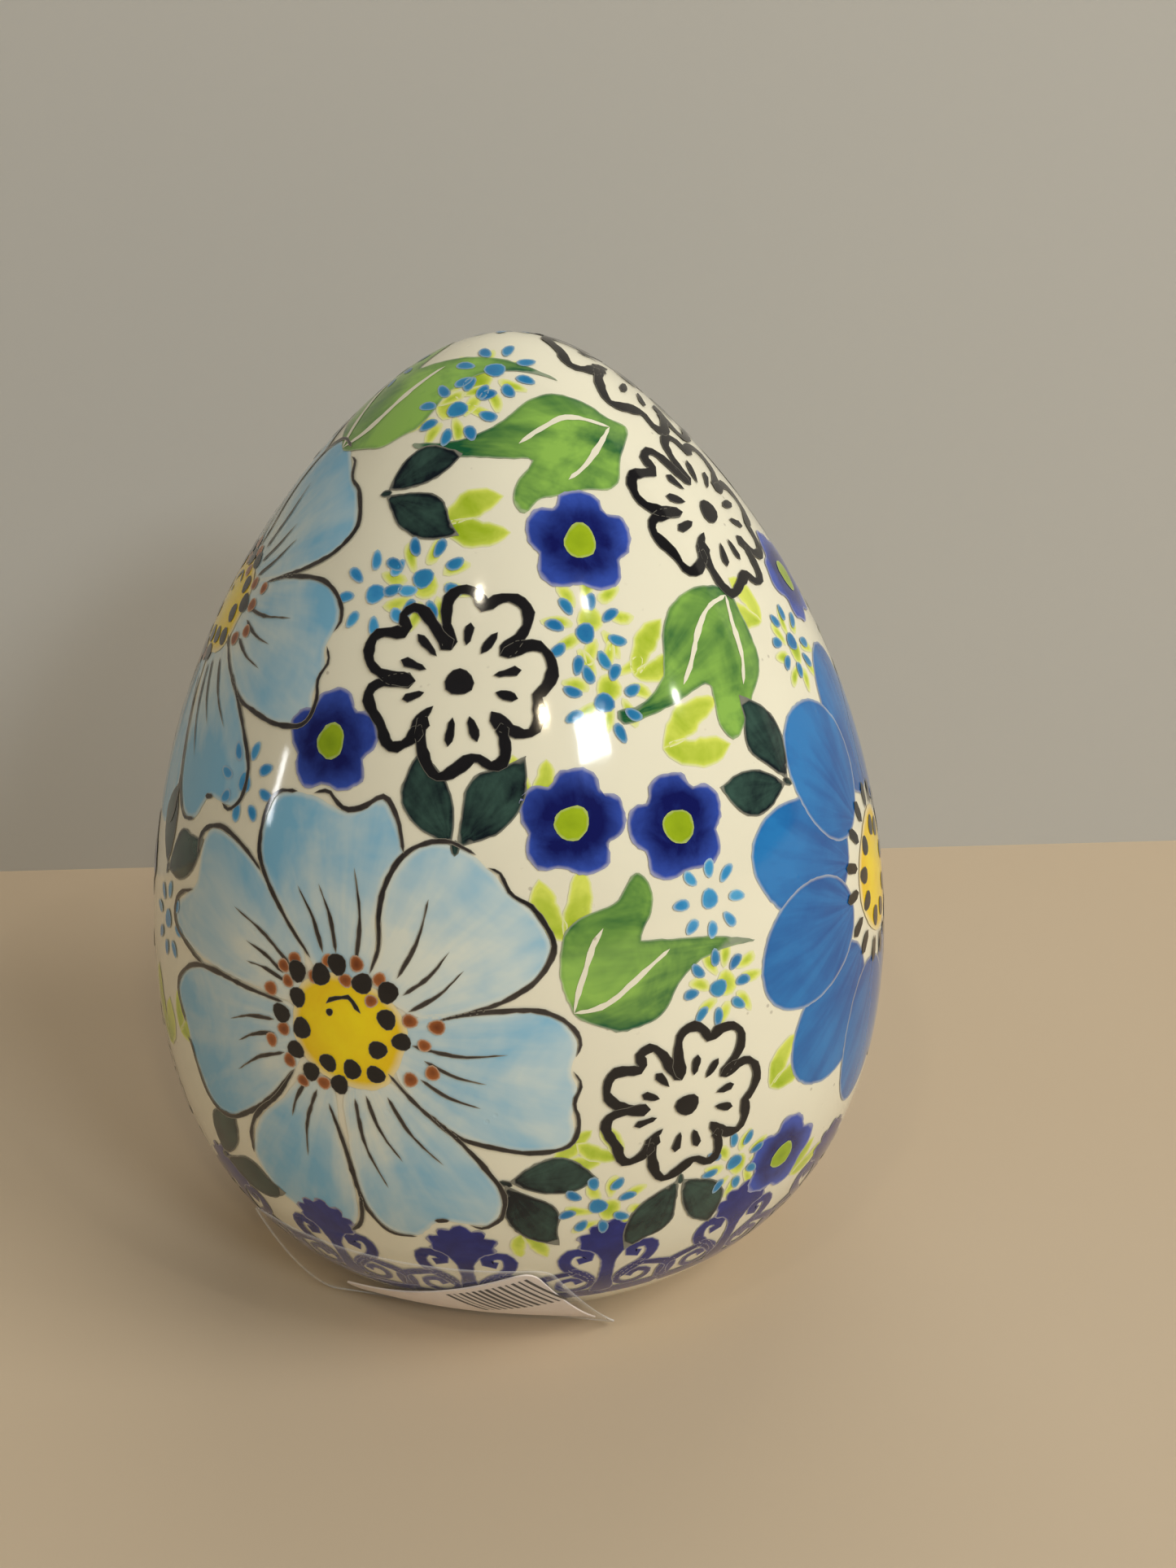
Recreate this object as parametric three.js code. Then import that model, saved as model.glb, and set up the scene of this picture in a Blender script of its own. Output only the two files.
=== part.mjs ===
// Decorated ceramic egg: a hollow slip-cast shell standing on its wide end, with a paper shelf
// label and the clear film over it stuck low on its front.
// Millimetres, +Z up. The origin is the centre of the foot, and the front of the egg looks along -Y.

import * as THREE from 'three';
import { mergeVertices } from 'three/addons/utils/BufferGeometryUtils.js';

// ---- Driving dimensions ----

// Egg shell
const eggHeight = 127;
const bellyRadius = 50.4; // widest radius
const wall = 4.5;
const ventRadius = 4; // casting vent through the foot
const footAngle = 22; // degrees of the egg curve that the flat foot cuts away

// Shape of the egg curve: how strongly each harmonic fills the wide end and slims the narrow one
const taper = 0.346;
const shoulderFill = 0.031;
const hipFill = 0.037;

// Label and film
const clearance = 0.3; // gap between the shell, the label and the film
const paperThickness = 0.25;
const filmThickness = 0.25;
const filmLeftAzimuth = -50; // degrees round from the front, towards +X
const filmTopRightAzimuth = 3;
const filmTipAzimuth = 20; // the free lower right corner
const filmTopHeight = 20;
const filmEdgeHeight = 0.4; // the free lower edge, just clear of the table
const filmEdgeStandoff = 1.2; // how far the straight lower edge passes in front of the shell
const filmEdgeAzimuth = -14; // direction in which that edge is nearest to the axis

// Corners of the paper, as shares of the film's width and height
const paperCorners = {
  topLeft: [0.15, 0.62],
  topRight: [0.94, 0.03],
  bottomLeft: [0.15, 0.96],
  bottomRight: [0.95, 0.96],
};

// Facets
const roundSegments = 72;
const outerSteps = 34;
const innerSteps = 24;
const sheetColumns = 24;
const sheetRows = 12;

// ---- Egg curve ----

const footTurn = THREE.MathUtils.degToRad(footAngle);
const heightScale = eggHeight / (1 + Math.cos(footTurn));

// Unscaled radius at an angle that runs from 0 under the foot to PI at the tip.
function swell(angle) {
  return Math.sin(angle)
    * (1 + taper * Math.cos(angle) + shoulderFill * Math.cos(2 * angle) + hipFill * Math.cos(3 * angle));
}

function widestSwell() {
  let widest = 0;
  for (let step = 0; step <= 1000; step++) {
    widest = Math.max(widest, swell((Math.PI * step) / 1000));
  }
  return widest;
}

const radiusScale = bellyRadius / widestSwell();

function curvePoint(angle) {
  return new THREE.Vector2(
    radiusScale * swell(angle),
    heightScale * (Math.cos(footTurn) - Math.cos(angle)),
  );
}

// Unit vector that points out of the shell, in the plane of the profile.
function curveNormal(angle) {
  const reach = 0.001;
  const along = curvePoint(angle + reach).sub(curvePoint(angle - reach)).normalize();
  return new THREE.Vector2(along.y, -along.x);
}

function angleAtHeight(height) {
  return Math.acos(Math.cos(footTurn) - height / heightScale);
}

// ---- Egg shell ----

// The profile runs from the axis down the inside, across the inner floor, out through the vent,
// across the foot and up the outside to the tip.
function shellProfile() {
  const profile = [];
  const floorAngle = innerFloorAngle();
  for (let step = 0; step <= innerSteps; step++) {
    const angle = THREE.MathUtils.lerp(Math.PI, floorAngle, step / innerSteps);
    profile.push(innerPoint(angle));
  }
  profile.push(new THREE.Vector2(ventRadius, wall));
  profile.push(new THREE.Vector2(ventRadius, 0));
  for (let step = 0; step <= outerSteps; step++) {
    const angle = THREE.MathUtils.lerp(footTurn, Math.PI, step / outerSteps);
    profile.push(curvePoint(angle));
  }
  profile[0].x = 0;
  profile[profile.length - 1].x = 0;
  return profile;
}

function innerPoint(angle) {
  return curvePoint(angle).addScaledVector(curveNormal(angle), -wall);
}

// Angle at which the inside face comes down to the flat inner floor.
function innerFloorAngle() {
  let low = footTurn;
  let high = Math.PI / 2;
  for (let halving = 0; halving < 40; halving++) {
    const middle = (low + high) / 2;
    if (innerPoint(middle).y < wall) {
      low = middle;
    } else {
      high = middle;
    }
  }
  return high;
}

function eggShellGeometry() {
  const geometry = new THREE.LatheGeometry(shellProfile(), roundSegments);
  geometry.rotateX(Math.PI / 2);
  return geometry;
}

// ---- Label and film ----

// Point of the film's middle surface. across runs from 0 at the left to 1 at the right, down from
// 0 at the edge stuck to the shell to 1 at the free edge, and lift is the distance off the shell.
function sheetPoint(across, down, lift) {
  const rightAzimuth = THREE.MathUtils.lerp(filmTopRightAzimuth, filmTipAzimuth, down);
  const azimuth = THREE.MathUtils.degToRad(THREE.MathUtils.lerp(filmLeftAzimuth, rightAzimuth, across));
  const angle = THREE.MathUtils.lerp(angleAtHeight(filmTopHeight), angleAtHeight(filmEdgeHeight), down);
  const onShell = curvePoint(angle);
  const outward = curveNormal(angle);
  outward.y *= 1 - down;
  outward.normalize();
  const edgeTurn = azimuth - THREE.MathUtils.degToRad(filmEdgeAzimuth);
  const shellRadius = curvePoint(angleAtHeight(filmEdgeHeight)).x;
  const edgeRadius = (shellRadius + filmEdgeStandoff) / Math.cos(edgeTurn);
  const flare = (edgeRadius - shellRadius) * down ** 2;
  const radius = onShell.x + outward.x * lift + flare;
  const height = onShell.y + outward.y * lift;
  return new THREE.Vector3(radius * Math.sin(azimuth), -radius * Math.cos(azimuth), height);
}

// A thin box bent onto the sheet: x goes across, y goes up the sheet, z is its thickness.
function bentSheetGeometry(corners, innerLift, thickness) {
  const geometry = new THREE.BoxGeometry(1, 1, 1, sheetColumns, sheetRows, 1);
  const positions = geometry.getAttribute('position');
  for (let index = 0; index < positions.count; index++) {
    const side = positions.getX(index) + 0.5;
    const drop = 0.5 - positions.getY(index);
    const lift = innerLift + (positions.getZ(index) + 0.5) * thickness;
    const top = lerpPair(corners.topLeft, corners.topRight, side);
    const bottom = lerpPair(corners.bottomLeft, corners.bottomRight, side);
    const [across, down] = lerpPair(top, bottom, drop);
    const place = sheetPoint(across, down, lift);
    positions.setXYZ(index, place.x, place.y, place.z);
  }
  return geometry;
}

function lerpPair(from, to, share) {
  return [
    THREE.MathUtils.lerp(from[0], to[0], share),
    THREE.MathUtils.lerp(from[1], to[1], share),
  ];
}

function labelGeometry() {
  return bentSheetGeometry(paperCorners, clearance, paperThickness);
}

function filmGeometry() {
  const wholeSheet = { topLeft: [0, 0], topRight: [1, 0], bottomLeft: [0, 1], bottomRight: [1, 1] };
  return bentSheetGeometry(wholeSheet, clearance + paperThickness + clearance, filmThickness);
}

// ---- Materials ----

const glazedStoneware = new THREE.MeshStandardMaterial({ color: 0xe9e4d6, roughness: 0.15, metalness: 0 });
const labelPaper = new THREE.MeshStandardMaterial({ color: 0xe6dcd4, roughness: 0.7, metalness: 0 });
const clearFilm = new THREE.MeshStandardMaterial({
  color: 0xdfe3e2,
  roughness: 0.2,
  metalness: 0,
  transparent: true,
  opacity: 0.35,
});

// ---- Assembly ----

// One closed body: shared corners are joined, and only the positions are kept.
function closedMesh(name, geometry, material) {
  geometry.deleteAttribute('normal');
  geometry.deleteAttribute('uv');
  const joined = mergeVertices(geometry, 0.0001);
  joined.computeVertexNormals();
  const mesh = new THREE.Mesh(joined, material);
  mesh.name = name;
  return mesh;
}

const paintedEgg = new THREE.Group();
paintedEgg.add(closedMesh('egg_shell', eggShellGeometry(), glazedStoneware));
paintedEgg.add(closedMesh('shelf_label', labelGeometry(), labelPaper));
paintedEgg.add(closedMesh('clear_film', filmGeometry(), clearFilm));

export default paintedEgg;
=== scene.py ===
import math

import bmesh
import bpy
import numpy as np
from mathutils import Matrix, Vector


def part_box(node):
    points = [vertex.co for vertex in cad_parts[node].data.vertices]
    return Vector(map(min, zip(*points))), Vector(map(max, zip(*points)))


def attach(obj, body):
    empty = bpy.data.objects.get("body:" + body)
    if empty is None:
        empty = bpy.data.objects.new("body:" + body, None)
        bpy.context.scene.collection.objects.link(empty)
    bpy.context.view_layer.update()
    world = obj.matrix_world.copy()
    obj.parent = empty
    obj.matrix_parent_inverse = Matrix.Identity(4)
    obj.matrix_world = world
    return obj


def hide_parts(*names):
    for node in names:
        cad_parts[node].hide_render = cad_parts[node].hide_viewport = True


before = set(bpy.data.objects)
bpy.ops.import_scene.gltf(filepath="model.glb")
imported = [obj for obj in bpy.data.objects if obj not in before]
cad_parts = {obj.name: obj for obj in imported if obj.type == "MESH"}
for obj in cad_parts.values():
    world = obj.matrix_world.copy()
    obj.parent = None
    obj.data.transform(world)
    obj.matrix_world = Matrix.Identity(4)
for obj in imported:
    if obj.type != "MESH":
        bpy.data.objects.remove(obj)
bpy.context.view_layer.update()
eggLow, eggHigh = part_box("egg_shell")
mm = 0.001
print("frame loaded")

# The egg's curve is the same formula as the shell's.
egg = {
    "height": (eggHigh[2] - eggLow[2]) / mm,
    "bellyRadius": (eggHigh[0] - eggLow[0]) / 2 / mm,
    "footAngle": 22,  # degrees of the curve that the flat foot cuts away
    "taper": 0.346,
    "shoulderFill": 0.031,
    "hipFill": 0.037,
    "wall": 4.5,
    "ventRadius": 4,
    "ventRound": 0.6,
    "footRound": 0.9,  # how far the glaze rolls in at the foot
    "rollTurn": 0.012,  # where the rolled edge ends on the curve, in radians
    "hollowMiddle": 45,
    "segmentsAround": 192,
    "stepsUp": 140,
    "stepsInside": 36,
}
footTurn = math.radians(egg["footAngle"])
heightScale = egg["height"] / (1 + math.cos(footTurn))


def swell(angle):
    return np.sin(angle) * (
        1
        + egg["taper"] * np.cos(angle)
        + egg["shoulderFill"] * np.cos(2 * angle)
        + egg["hipFill"] * np.cos(3 * angle)
    )


radiusScale = egg["bellyRadius"] / swell(np.linspace(0, math.pi, 2000)).max()


def curvePoint(angle):
    return radiusScale * swell(angle), heightScale * (math.cos(footTurn) - np.cos(angle))


def curveNormal(angle):
    reach = 0.001
    aheadRadius, aheadHeight = curvePoint(angle + reach)
    behindRadius, behindHeight = curvePoint(angle - reach)
    outward, upward = aheadHeight - behindHeight, behindRadius - aheadRadius
    length = np.hypot(outward, upward)
    return outward / length, upward / length


def angleAtHeight(height):
    return math.acos(math.cos(footTurn) - height / heightScale)


# Tables along the outside, from the edge of the foot to the tip. Climb is the distance up the glaze.
angleTable = np.linspace(footTurn, math.pi, 3000)
radiusTable, heightTable = curvePoint(angleTable)
outwardTable, upwardTable = curveNormal(angleTable)
climbTable = np.concatenate([[0], np.cumsum(np.hypot(np.diff(radiusTable), np.diff(heightTable)))])
slopeTable = np.gradient(radiusTable, climbTable)


def placeOnEgg(azimuth, climb, lift):
    radius = np.interp(climb, climbTable, radiusTable)
    height = np.interp(climb, climbTable, heightTable)
    outward = np.interp(climb, climbTable, outwardTable)
    upward = np.interp(climb, climbTable, upwardTable)
    normals = np.stack([outward * np.sin(azimuth), -outward * np.cos(azimuth), upward], -1)
    points = np.stack([radius * np.sin(azimuth), -radius * np.cos(azimuth), height], -1)
    return points + normals * lift[:, None], normals


# Walks from each mark's own centre, straight across the glaze, to where a flat point (x, y) lands.
def walkOverEgg(azimuth, climb, x, y):
    steps = 24
    stride = np.hypot(x, y) / steps
    heading = np.arctan2(x, y)
    for step in range(steps):
        radius = np.maximum(np.interp(climb, climbTable, radiusTable), 0.05)
        slope = np.interp(climb, climbTable, slopeTable)
        middleHeading = heading - slope / radius * np.sin(heading) * stride / 2
        middleClimb = climb + np.cos(heading) * stride / 2
        middleRadius = np.maximum(np.interp(middleClimb, climbTable, radiusTable), 0.05)
        middleSlope = np.interp(middleClimb, climbTable, slopeTable)
        azimuth = azimuth + np.sin(middleHeading) / middleRadius * stride
        climb = climb + np.cos(middleHeading) * stride
        heading = heading - middleSlope / middleRadius * np.sin(middleHeading) * stride
    return azimuth, climb


# Every mark is drawn flat, around the centre of its own motif.
brush = {
    "step": 0.8,
    "cell": 1.2,
    "ragged": 0.1,  # how far the bristles leave the edge of a mark uneven
    "baseLift": 0.04,
    "layerLift": 0.016,
    "liftSteps": 12,
    "raggedFill": 1.6,  # filled shapes have rougher edges than lines
    "firstCut": 0.57,  # share of a cell before the first cut
    "seed": 11,
}
dice = np.random.default_rng(brush["seed"])


def newPaint(layer):
    bm = bmesh.new()
    names = ("anchorAzimuth", "anchorClimb", "rim", "along", "around", "seed")
    fields = {name: bm.verts.layers.float.new(name) for name in names}
    return {"bm": bm, "fields": fields, "layer": layer, "marks": 0}


def spot(azimuth, climb, turn=0, size=1):
    return {"azimuth": math.radians(azimuth), "climb": climb, "turn": math.radians(turn), "size": size}


def smoothPath(points, step, closed=False):
    knots = np.array(points, float)
    if len(knots) < 3 and not closed:
        count = max(2, int(np.ceil(np.hypot(*(knots[-1] - knots[0])) / step)) + 1)
        return knots[0] + (knots[-1] - knots[0]) * np.linspace(0, 1, count)[:, None]
    if closed:
        ends = np.vstack([knots[-1:], knots, knots[:2]])
    else:
        ends = np.vstack([2 * knots[:1] - knots[1:2], knots, 2 * knots[-1:] - knots[-2:-1]])
    drawn = []
    for before, start, end, after in zip(ends[:-3], ends[1:-2], ends[2:-1], ends[3:]):
        count = max(1, int(np.ceil(np.hypot(*(end - start)) / step)))
        t = (np.arange(count) / count)[:, None]
        bend = 2 * before - 5 * start + 4 * end - after
        twist = 3 * start - before - 3 * end + after
        drawn.append(start + t * ((end - before) + t * (bend + t * twist)) / 2)
    if not closed:
        drawn.append(knots[-1:])
    return np.vstack(drawn)


# Turns and sizes finished marks into place and writes what the materials read from them.
def settle(paint, verts, place, rim, along, around, lift):
    fields = paint["fields"]
    seed = dice.random()
    cosTurn, sinTurn = math.cos(place["turn"]), math.sin(place["turn"])
    paint["marks"] += 1
    if lift is None:
        # Keeps marks of one pigment from lying in the same plane.
        lift = paint["marks"] % brush["liftSteps"] / (2 * brush["liftSteps"])
    height = brush["baseLift"] + brush["layerLift"] * (paint["layer"] + lift)
    for vert, rimValue, alongValue, aroundValue in zip(verts, rim, along, around):
        x, y = vert.co.x * place["size"], vert.co.y * place["size"]
        vert.co = (x * cosTurn + y * sinTurn, y * cosTurn - x * sinTurn, height)
        vert[fields["anchorAzimuth"]] = place["azimuth"]
        vert[fields["anchorClimb"]] = place["climb"]
        vert[fields["rim"]] = rimValue * place["size"]
        vert[fields["along"]] = alongValue
        vert[fields["around"]] = aroundValue
        vert[fields["seed"]] = seed


def strokeLine(paint, place, points, width, swells=(0.35, 1, 1, 0.35), waver=0.12, lift=None):
    path = smoothPath(points, brush["step"])
    lengths = np.concatenate([[0], np.cumsum(np.hypot(*np.diff(path, axis=0).T))])
    total = lengths[-1]
    steps = max(5, int(total / brush["step"]))
    grid = bmesh.ops.create_grid(paint["bm"], x_segments=steps, y_segments=2, size=1)
    verts = grid["verts"]
    flat = np.array([vert.co[:2] for vert in verts])
    share, side = (flat[:, 0] + 1) / 2, flat[:, 1]
    reach = share * total
    middle = np.stack([np.interp(reach, lengths, path[:, axis]) for axis in (0, 1)], -1)
    slopes = [np.gradient(path[:, axis], lengths) for axis in (0, 1)]
    heading = np.stack([np.interp(reach, lengths, slope) for slope in slopes], -1)
    heading /= np.maximum(np.hypot(heading[:, 0], heading[:, 1]), 1e-6)[:, None]
    knots = np.linspace(0, 1, len(swells))
    half = width / 2 * np.interp(share, knots, swells)
    ripple = np.sin(reach * 1.1 + dice.random() * 6) + 0.6 * np.sin(reach * 2.7 + dice.random() * 6)
    half *= 1 + waver * ripple
    bristles = dice.random((steps + 2, 2)) - 0.5
    half += brush["ragged"] * bristles[np.rint(share * steps).astype(int), (side > 0).astype(int)]
    toEnd = np.minimum(reach, total - reach)
    half *= np.sqrt(np.clip(1 - (1 - np.clip(toEnd / (width / 2), 0, 1)) ** 2, 0.004, 1))
    across = np.stack([-heading[:, 1], heading[:, 0]], -1)
    placed = middle + across * (side * half)[:, None]
    for vert, (x, y) in zip(verts, placed):
        vert.co = (x, y, 0)
    settle(paint, verts, place, (1 - np.abs(side)) * half, share, side, lift)


def edgeDistance(points, ring):
    start, end = ring, np.roll(ring, -1, axis=0)
    span = end - start
    offset = points[:, None] - start
    share = np.clip((offset * span).sum(-1) / np.maximum((span**2).sum(-1), 1e-9), 0, 1)
    return np.hypot(*np.moveaxis(offset - span * share[..., None], -1, 0)).min(1)


def fillShape(paint, place, outline, centre, reach, lift=None):
    bm = paint["bm"]
    ring = smoothPath(outline, brush["step"], closed=True)
    ring = ring + brush["ragged"] * (dice.random(ring.shape) - 0.5) * brush["raggedFill"]
    corners = [bm.verts.new((x, y, 0)) for x, y in ring]
    face = bm.faces.new(corners)
    pieces = corners + list(face.edges) + [face]
    for axis in (Vector((1, 0, 0)), Vector((0, 1, 0))):
        low, high = (ring @ np.array(axis[:2])).min(), (ring @ np.array(axis[:2])).max()
        cell = brush["cell"] / place["size"]
        for cut in np.arange(low + cell * brush["firstCut"], high, cell):
            sliced = bmesh.ops.bisect_plane(bm, geom=pieces, dist=1e-5, plane_co=axis * cut, plane_no=axis)
            pieces = sliced["geom"]
    verts = [piece for piece in pieces if isinstance(piece, bmesh.types.BMVert)]
    flat = np.array([vert.co[:2] for vert in verts])
    offset = (flat - np.array(centre)).T
    distance, around = np.hypot(*offset) / reach, np.arctan2(*offset)
    settle(paint, verts, place, edgeDistance(flat, ring), distance, around, lift)


def ovalRing(x, y, radiusX, radiusY, turn=0, wobble=0.05, count=18):
    turns = np.linspace(0, 2 * math.pi, count, endpoint=False)
    ripple = np.sin(turns * 3 + dice.random() * 6) + np.sin(turns * 2 + dice.random() * 6)
    uneven = 1 + wobble * ripple
    across, up = radiusX * np.cos(turns) * uneven, radiusY * np.sin(turns) * uneven
    lean = math.radians(turn)
    return np.stack([x + across * math.cos(lean) + up * math.sin(lean),
                     y + up * math.cos(lean) - across * math.sin(lean)], -1)


# A small dab of the brush: a fan of faces round its middle, longer along its lean.
def dab(paint, place, x, y, radiusX, radiusY=None, turn=0, wobble=0.06):
    ring = ovalRing(x, y, radiusX, radiusY or radiusX, turn, wobble, 12)
    fan = bmesh.ops.create_circle(paint["bm"], cap_ends=True, cap_tris=True, segments=12, radius=1)
    verts = fan["verts"]
    rim = []
    along = []
    for vert in verts:
        if vert.co.length < 0.5:
            vert.co = (x, y, 0)
            rim.append(min(radiusX, radiusY or radiusX))
            along.append(0)
        else:
            index = int(round(math.atan2(vert.co.y, vert.co.x) / (2 * math.pi) * 12)) % 12
            vert.co = (ring[index][0], ring[index][1], 0)
            rim.append(0)
            along.append(1)
    settle(paint, verts, place, rim, along, along, None)


def mirrored(points):
    return [(-x, y) for x, y in points]


# Each pigment with the layer it is laid in, lowest first.
paints = {
    "lime": newPaint(0),
    "wash": newPaint(1),
    "sky": newPaint(1),
    "leaf": newPaint(3),
    "darkLeaf": newPaint(4),
    "cobalt": newPaint(4),
    "turquoise": newPaint(5),
    "teal": newPaint(5),
    "vein": newPaint(6),
    "yellow": newPaint(5),
    "limeHeart": newPaint(7),
    "ink": newPaint(7),
    "rust": newPaint(8),
    "black": newPaint(9),
    "lace": newPaint(2),
}

paleFlower = {
    "washSpread": 1.085,  # how far the wash runs past its drawn petals
    "lineWidth": 0.76,
    "stamenWidth": 0.6,
    "petals": [
        [(-3.5, 7), (-8.5, 12.3), (-12.3, 16.8), (-13.7, 20), (-13.2, 24), (-11.5, 26.3), (-7, 26.8),
         (-2, 25.8),
         (2, 27.6), (4, 25), (5, 22.3), (3, 19), (2.4, 15), (2.5, 11), (1.5, 7)],
        [(3.5, 7.5), (4.5, 11), (4.3, 15), (5, 18.8), (7, 21.7), (10, 23.3), (14, 22.3), (18, 18.8),
         (21, 16.4),
         (23, 13), (22.7, 10.5), (20, 7.6), (16, 5.6), (10, 3.7), (6, 5)],
        [(9, 2), (16, 3.4), (22, 4), (25, 3), (27, 0), (26.4, -3.5), (27.2, -6), (26.6, -9), (26.9, -12),
         (25, -13.3), (20, -13.4), (14, -11.6), (9.5, -8.2), (7, -4)],
        [(0, -9), (-0.2, -14), (0.2, -20), (1.2, -25), (3.5, -28.2), (7, -28.4), (10, -25.6), (13, -25.6),
         (16, -25.6), (17.5, -23), (17.3, -20), (14.2, -15), (10, -10.7), (5, -7)],
        [(-3, -9), (-7, -9), (-10.5, -12.8), (-14, -16.2), (-16, -20), (-16.5, -23.5), (-14, -27.5),
         (-9, -30),
         (-4, -30), (-1.9, -27), (-1.6, -22), (-2.5, -16)],
        [(-9, 0.5), (-15, 0.8), (-22, 1.1), (-27, 0.2), (-30.3, -2.3), (-31.4, -5), (-29.6, -8.5),
         (-29, -11),
         (-27.6, -13.5), (-25.8, -16.7), (-23, -18), (-19, -16.6), (-13, -11.4), (-8, -5)],
        [(-9, 3), (-15, 3), (-22, 3.2), (-27, 3.8), (-31.7, 5.5), (-31.5, 8), (-29, 10), (-26.8, 12),
         (-26.2, 16), (-25, 18.6), (-22.5, 19.4), (-18, 18.2), (-14, 15.7), (-8, 9.5)],
    ],
    "outlines": [
        [(-5.5, 8), (-10, 12.7), (-13.5, 17), (-14.7, 20), (-14.2, 24.5), (-12.5, 27), (-9.5, 27.6)],
        [(-7, 27.8), (-5, 28.4), (-3.5, 27.2), (-2, 26.6), (0, 27.2), (2.5, 28.8), (4, 27.5), (5, 25.5),
         (5.8, 22.5)],
        [(2.5, 7.5), (3.5, 11), (3.3, 15), (4, 19), (6, 22.5), (9, 24.2), (11.5, 24.4), (14.5, 23.2)],
        [(16, 21.8), (17.5, 21.2), (19, 18.8), (21.5, 17.4), (24, 14), (24.2, 11.5), (22.5, 8.5),
         (19.5, 6.2),
         (16, 4.5), (11, 2.8)],
        [(11.5, 3), (16, 4.2), (22, 4.8), (25, 4), (27, 2.5), (28, 0.5), (27.5, -1.3)],
        [(27.2, -3.2), (28.2, -5), (27.4, -7.5), (28, -10), (27.6, -12.5), (26, -14), (22, -14.5),
         (18, -13.8),
         (13.5, -12.5), (9, -9), (5, -4.8)],
        [(10, -9.5), (14, -13.5), (17, -17.5), (18.7, -21), (18.3, -24.5), (17, -26), (15.5, -26.8),
         (14, -26.2)],
        [(9.5, -26), (11.5, -25.7)],
        [(-3.2, -10.5), (-1.5, -16), (-0.8, -20), (-0.2, -23.5), (0.5, -26), (3, -29.3), (6.8, -29.4)],
        [(-0.2, -23.5), (-0.5, -27), (-1.5, -29.5), (-3, -31)],
        [(-8, -7), (-11, -11.5), (-15, -15.5), (-17, -19), (-17.5, -23)],
        [(-8, -7), (-12, -12), (-16, -15.5), (-20, -18.2), (-23.5, -19), (-26.5, -17.5), (-28.5, -13.5),
         (-29.5, -11), (-30.5, -10.5)],
        [(-9.5, 1.5), (-15, 1.7), (-22, 2), (-27, 1.2), (-31, -1.5), (-32.5, -4.5), (-30.5, -8.5)],
        [(-14, 17), (-17, 19), (-20, 20.2), (-23, 20.6), (-26, 19.5), (-27.5, 17.5), (-27.2, 15.5)],
        [(-28, 11), (-31, 9.8), (-33, 8), (-33, 5), (-28, 2.8), (-25, 2)],
    ],
    "stamens": [
        [(-18.5, 11.5), (-8.5, 6.5)], [(-16, 7.8), (-9.5, 5.2)], [(-15.8, 5.2), (-9, 4.2)],
        [(-8, 16.5), (-3.8, 9)], [(-5, 17.3), (-2, 9.3)], [(-0.3, 20), (0.7, 8.5)], [(9.3, 17.5), (6, 7.5)],
        [(12.2, 11.5), (6.8, 5.5)], [(14, 9.3), (7.5, 3.5)], [(19.5, -1), (8, -0.7)], [(17, -5),
         (9.5, -2.5)],
        [(16.3, -8.3), (9, -5)], [(-19, -3.5), (-11, -1.2)], [(-17.5, -6), (-11, -3)],
        [(-18, -10.3), (-9.5, -5.2)], [(-9, -14), (-6.5, -8.5)], [(-7.3, -19.5), (-4.8, -9)],
        [(4, -21.5), (0.5, -9)], [(6.3, -17), (2, -8.3)], [(11.5, -16.8), (4.8, -8)],
    ],
    "blackDots": [
        (-7.4, 6), (-4, 6.3), (-1.8, 8), (1.6, 6.2), (4.9, 5.6), (-7.3, 2.7), (4.8, 2.2), (-9.8, 0),
        (6.7, -0.4),
        (-6.7, -1.2), (3.7, -1.9), (-7.7, -4.3), (-3, -4.9), (0.3, -5.1), (3.4, -5.2), (-5.5, -6.7),
        (-1.5, -7.5),
    ],
    "rustDots": [
        (-9.5, 6.2), (-7.8, 7.3), (-3, 8.2), (0.8, 8.5), (3.8, 7), (-0.6, 6.2), (-5, 5.8), (-11.5, 2.8),
        (-8.8, 4.4), (2.8, 4.2), (7.7, 2.4), (11, 2), (9.5, -0.5), (-9.5, -2), (-11.5, -4), (-8.7, -6),
        (-6.8, -8.3), (-3.7, -7.8), (10.5, -4), (7.8, -5.2),
    ],
    "heart": [(-8, 0), (-6.8, 4.5), (-3, 6.8), (1.5, 6.4), (5.2, 4.6), (7.4, 1), (6.8, -2.5), (4.6, -6.6),
              (0.5, -7.6), (-4.5, -6.4), (-7.4, -3.4)],
    "curl": [(-3.2, 2.8), (-2.5, 3.5), (-1, 4), (0, 4.2), (0.6, 3.4), (1.5, 2.4)],
}


def paintPaleFlower(place):
    for petal in paleFlower["petals"]:
        middle = np.mean(petal, axis=0)
        spread = middle + (np.array(petal) - middle) * paleFlower["washSpread"]
        fillShape(paints["wash"], place, spread, centre=(-0.5, 0), reach=30)
    for line in paleFlower["outlines"]:
        strokeLine(paints["ink"], place, line, paleFlower["lineWidth"], (0.5, 0.8, 1, 0.95, 0.85, 0.55), 0.1)
    for stamen in paleFlower["stamens"]:
        (farX, farY), (nearX, nearY) = stamen
        bow = ((farX + nearX) / 2 + (farY - nearY) * 0.06, (farY + nearY) / 2 - (farX - nearX) * 0.06)
        path = [(farX, farY), bow, (nearX, nearY)]
        strokeLine(paints["ink"], place, path, paleFlower["stamenWidth"], (0.25, 0.6, 1, 0.9), 0.12)
    fillShape(paints["yellow"], place, paleFlower["heart"], centre=(-0.5, -0.5), reach=8)
    for x, y in paleFlower["rustDots"]:
        dab(paints["rust"], place, x, y, 0.85 + 0.2 * dice.random())
    for x, y in paleFlower["blackDots"]:
        dab(paints["black"], place, x, y, 1.2 + 0.2 * dice.random())
    strokeLine(paints["black"], place, paleFlower["curl"], 0.7, (0.8, 1, 0.9, 0.7), 0.25)
    dab(paints["black"], place, -2.7, 1.8, 0.5)


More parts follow.
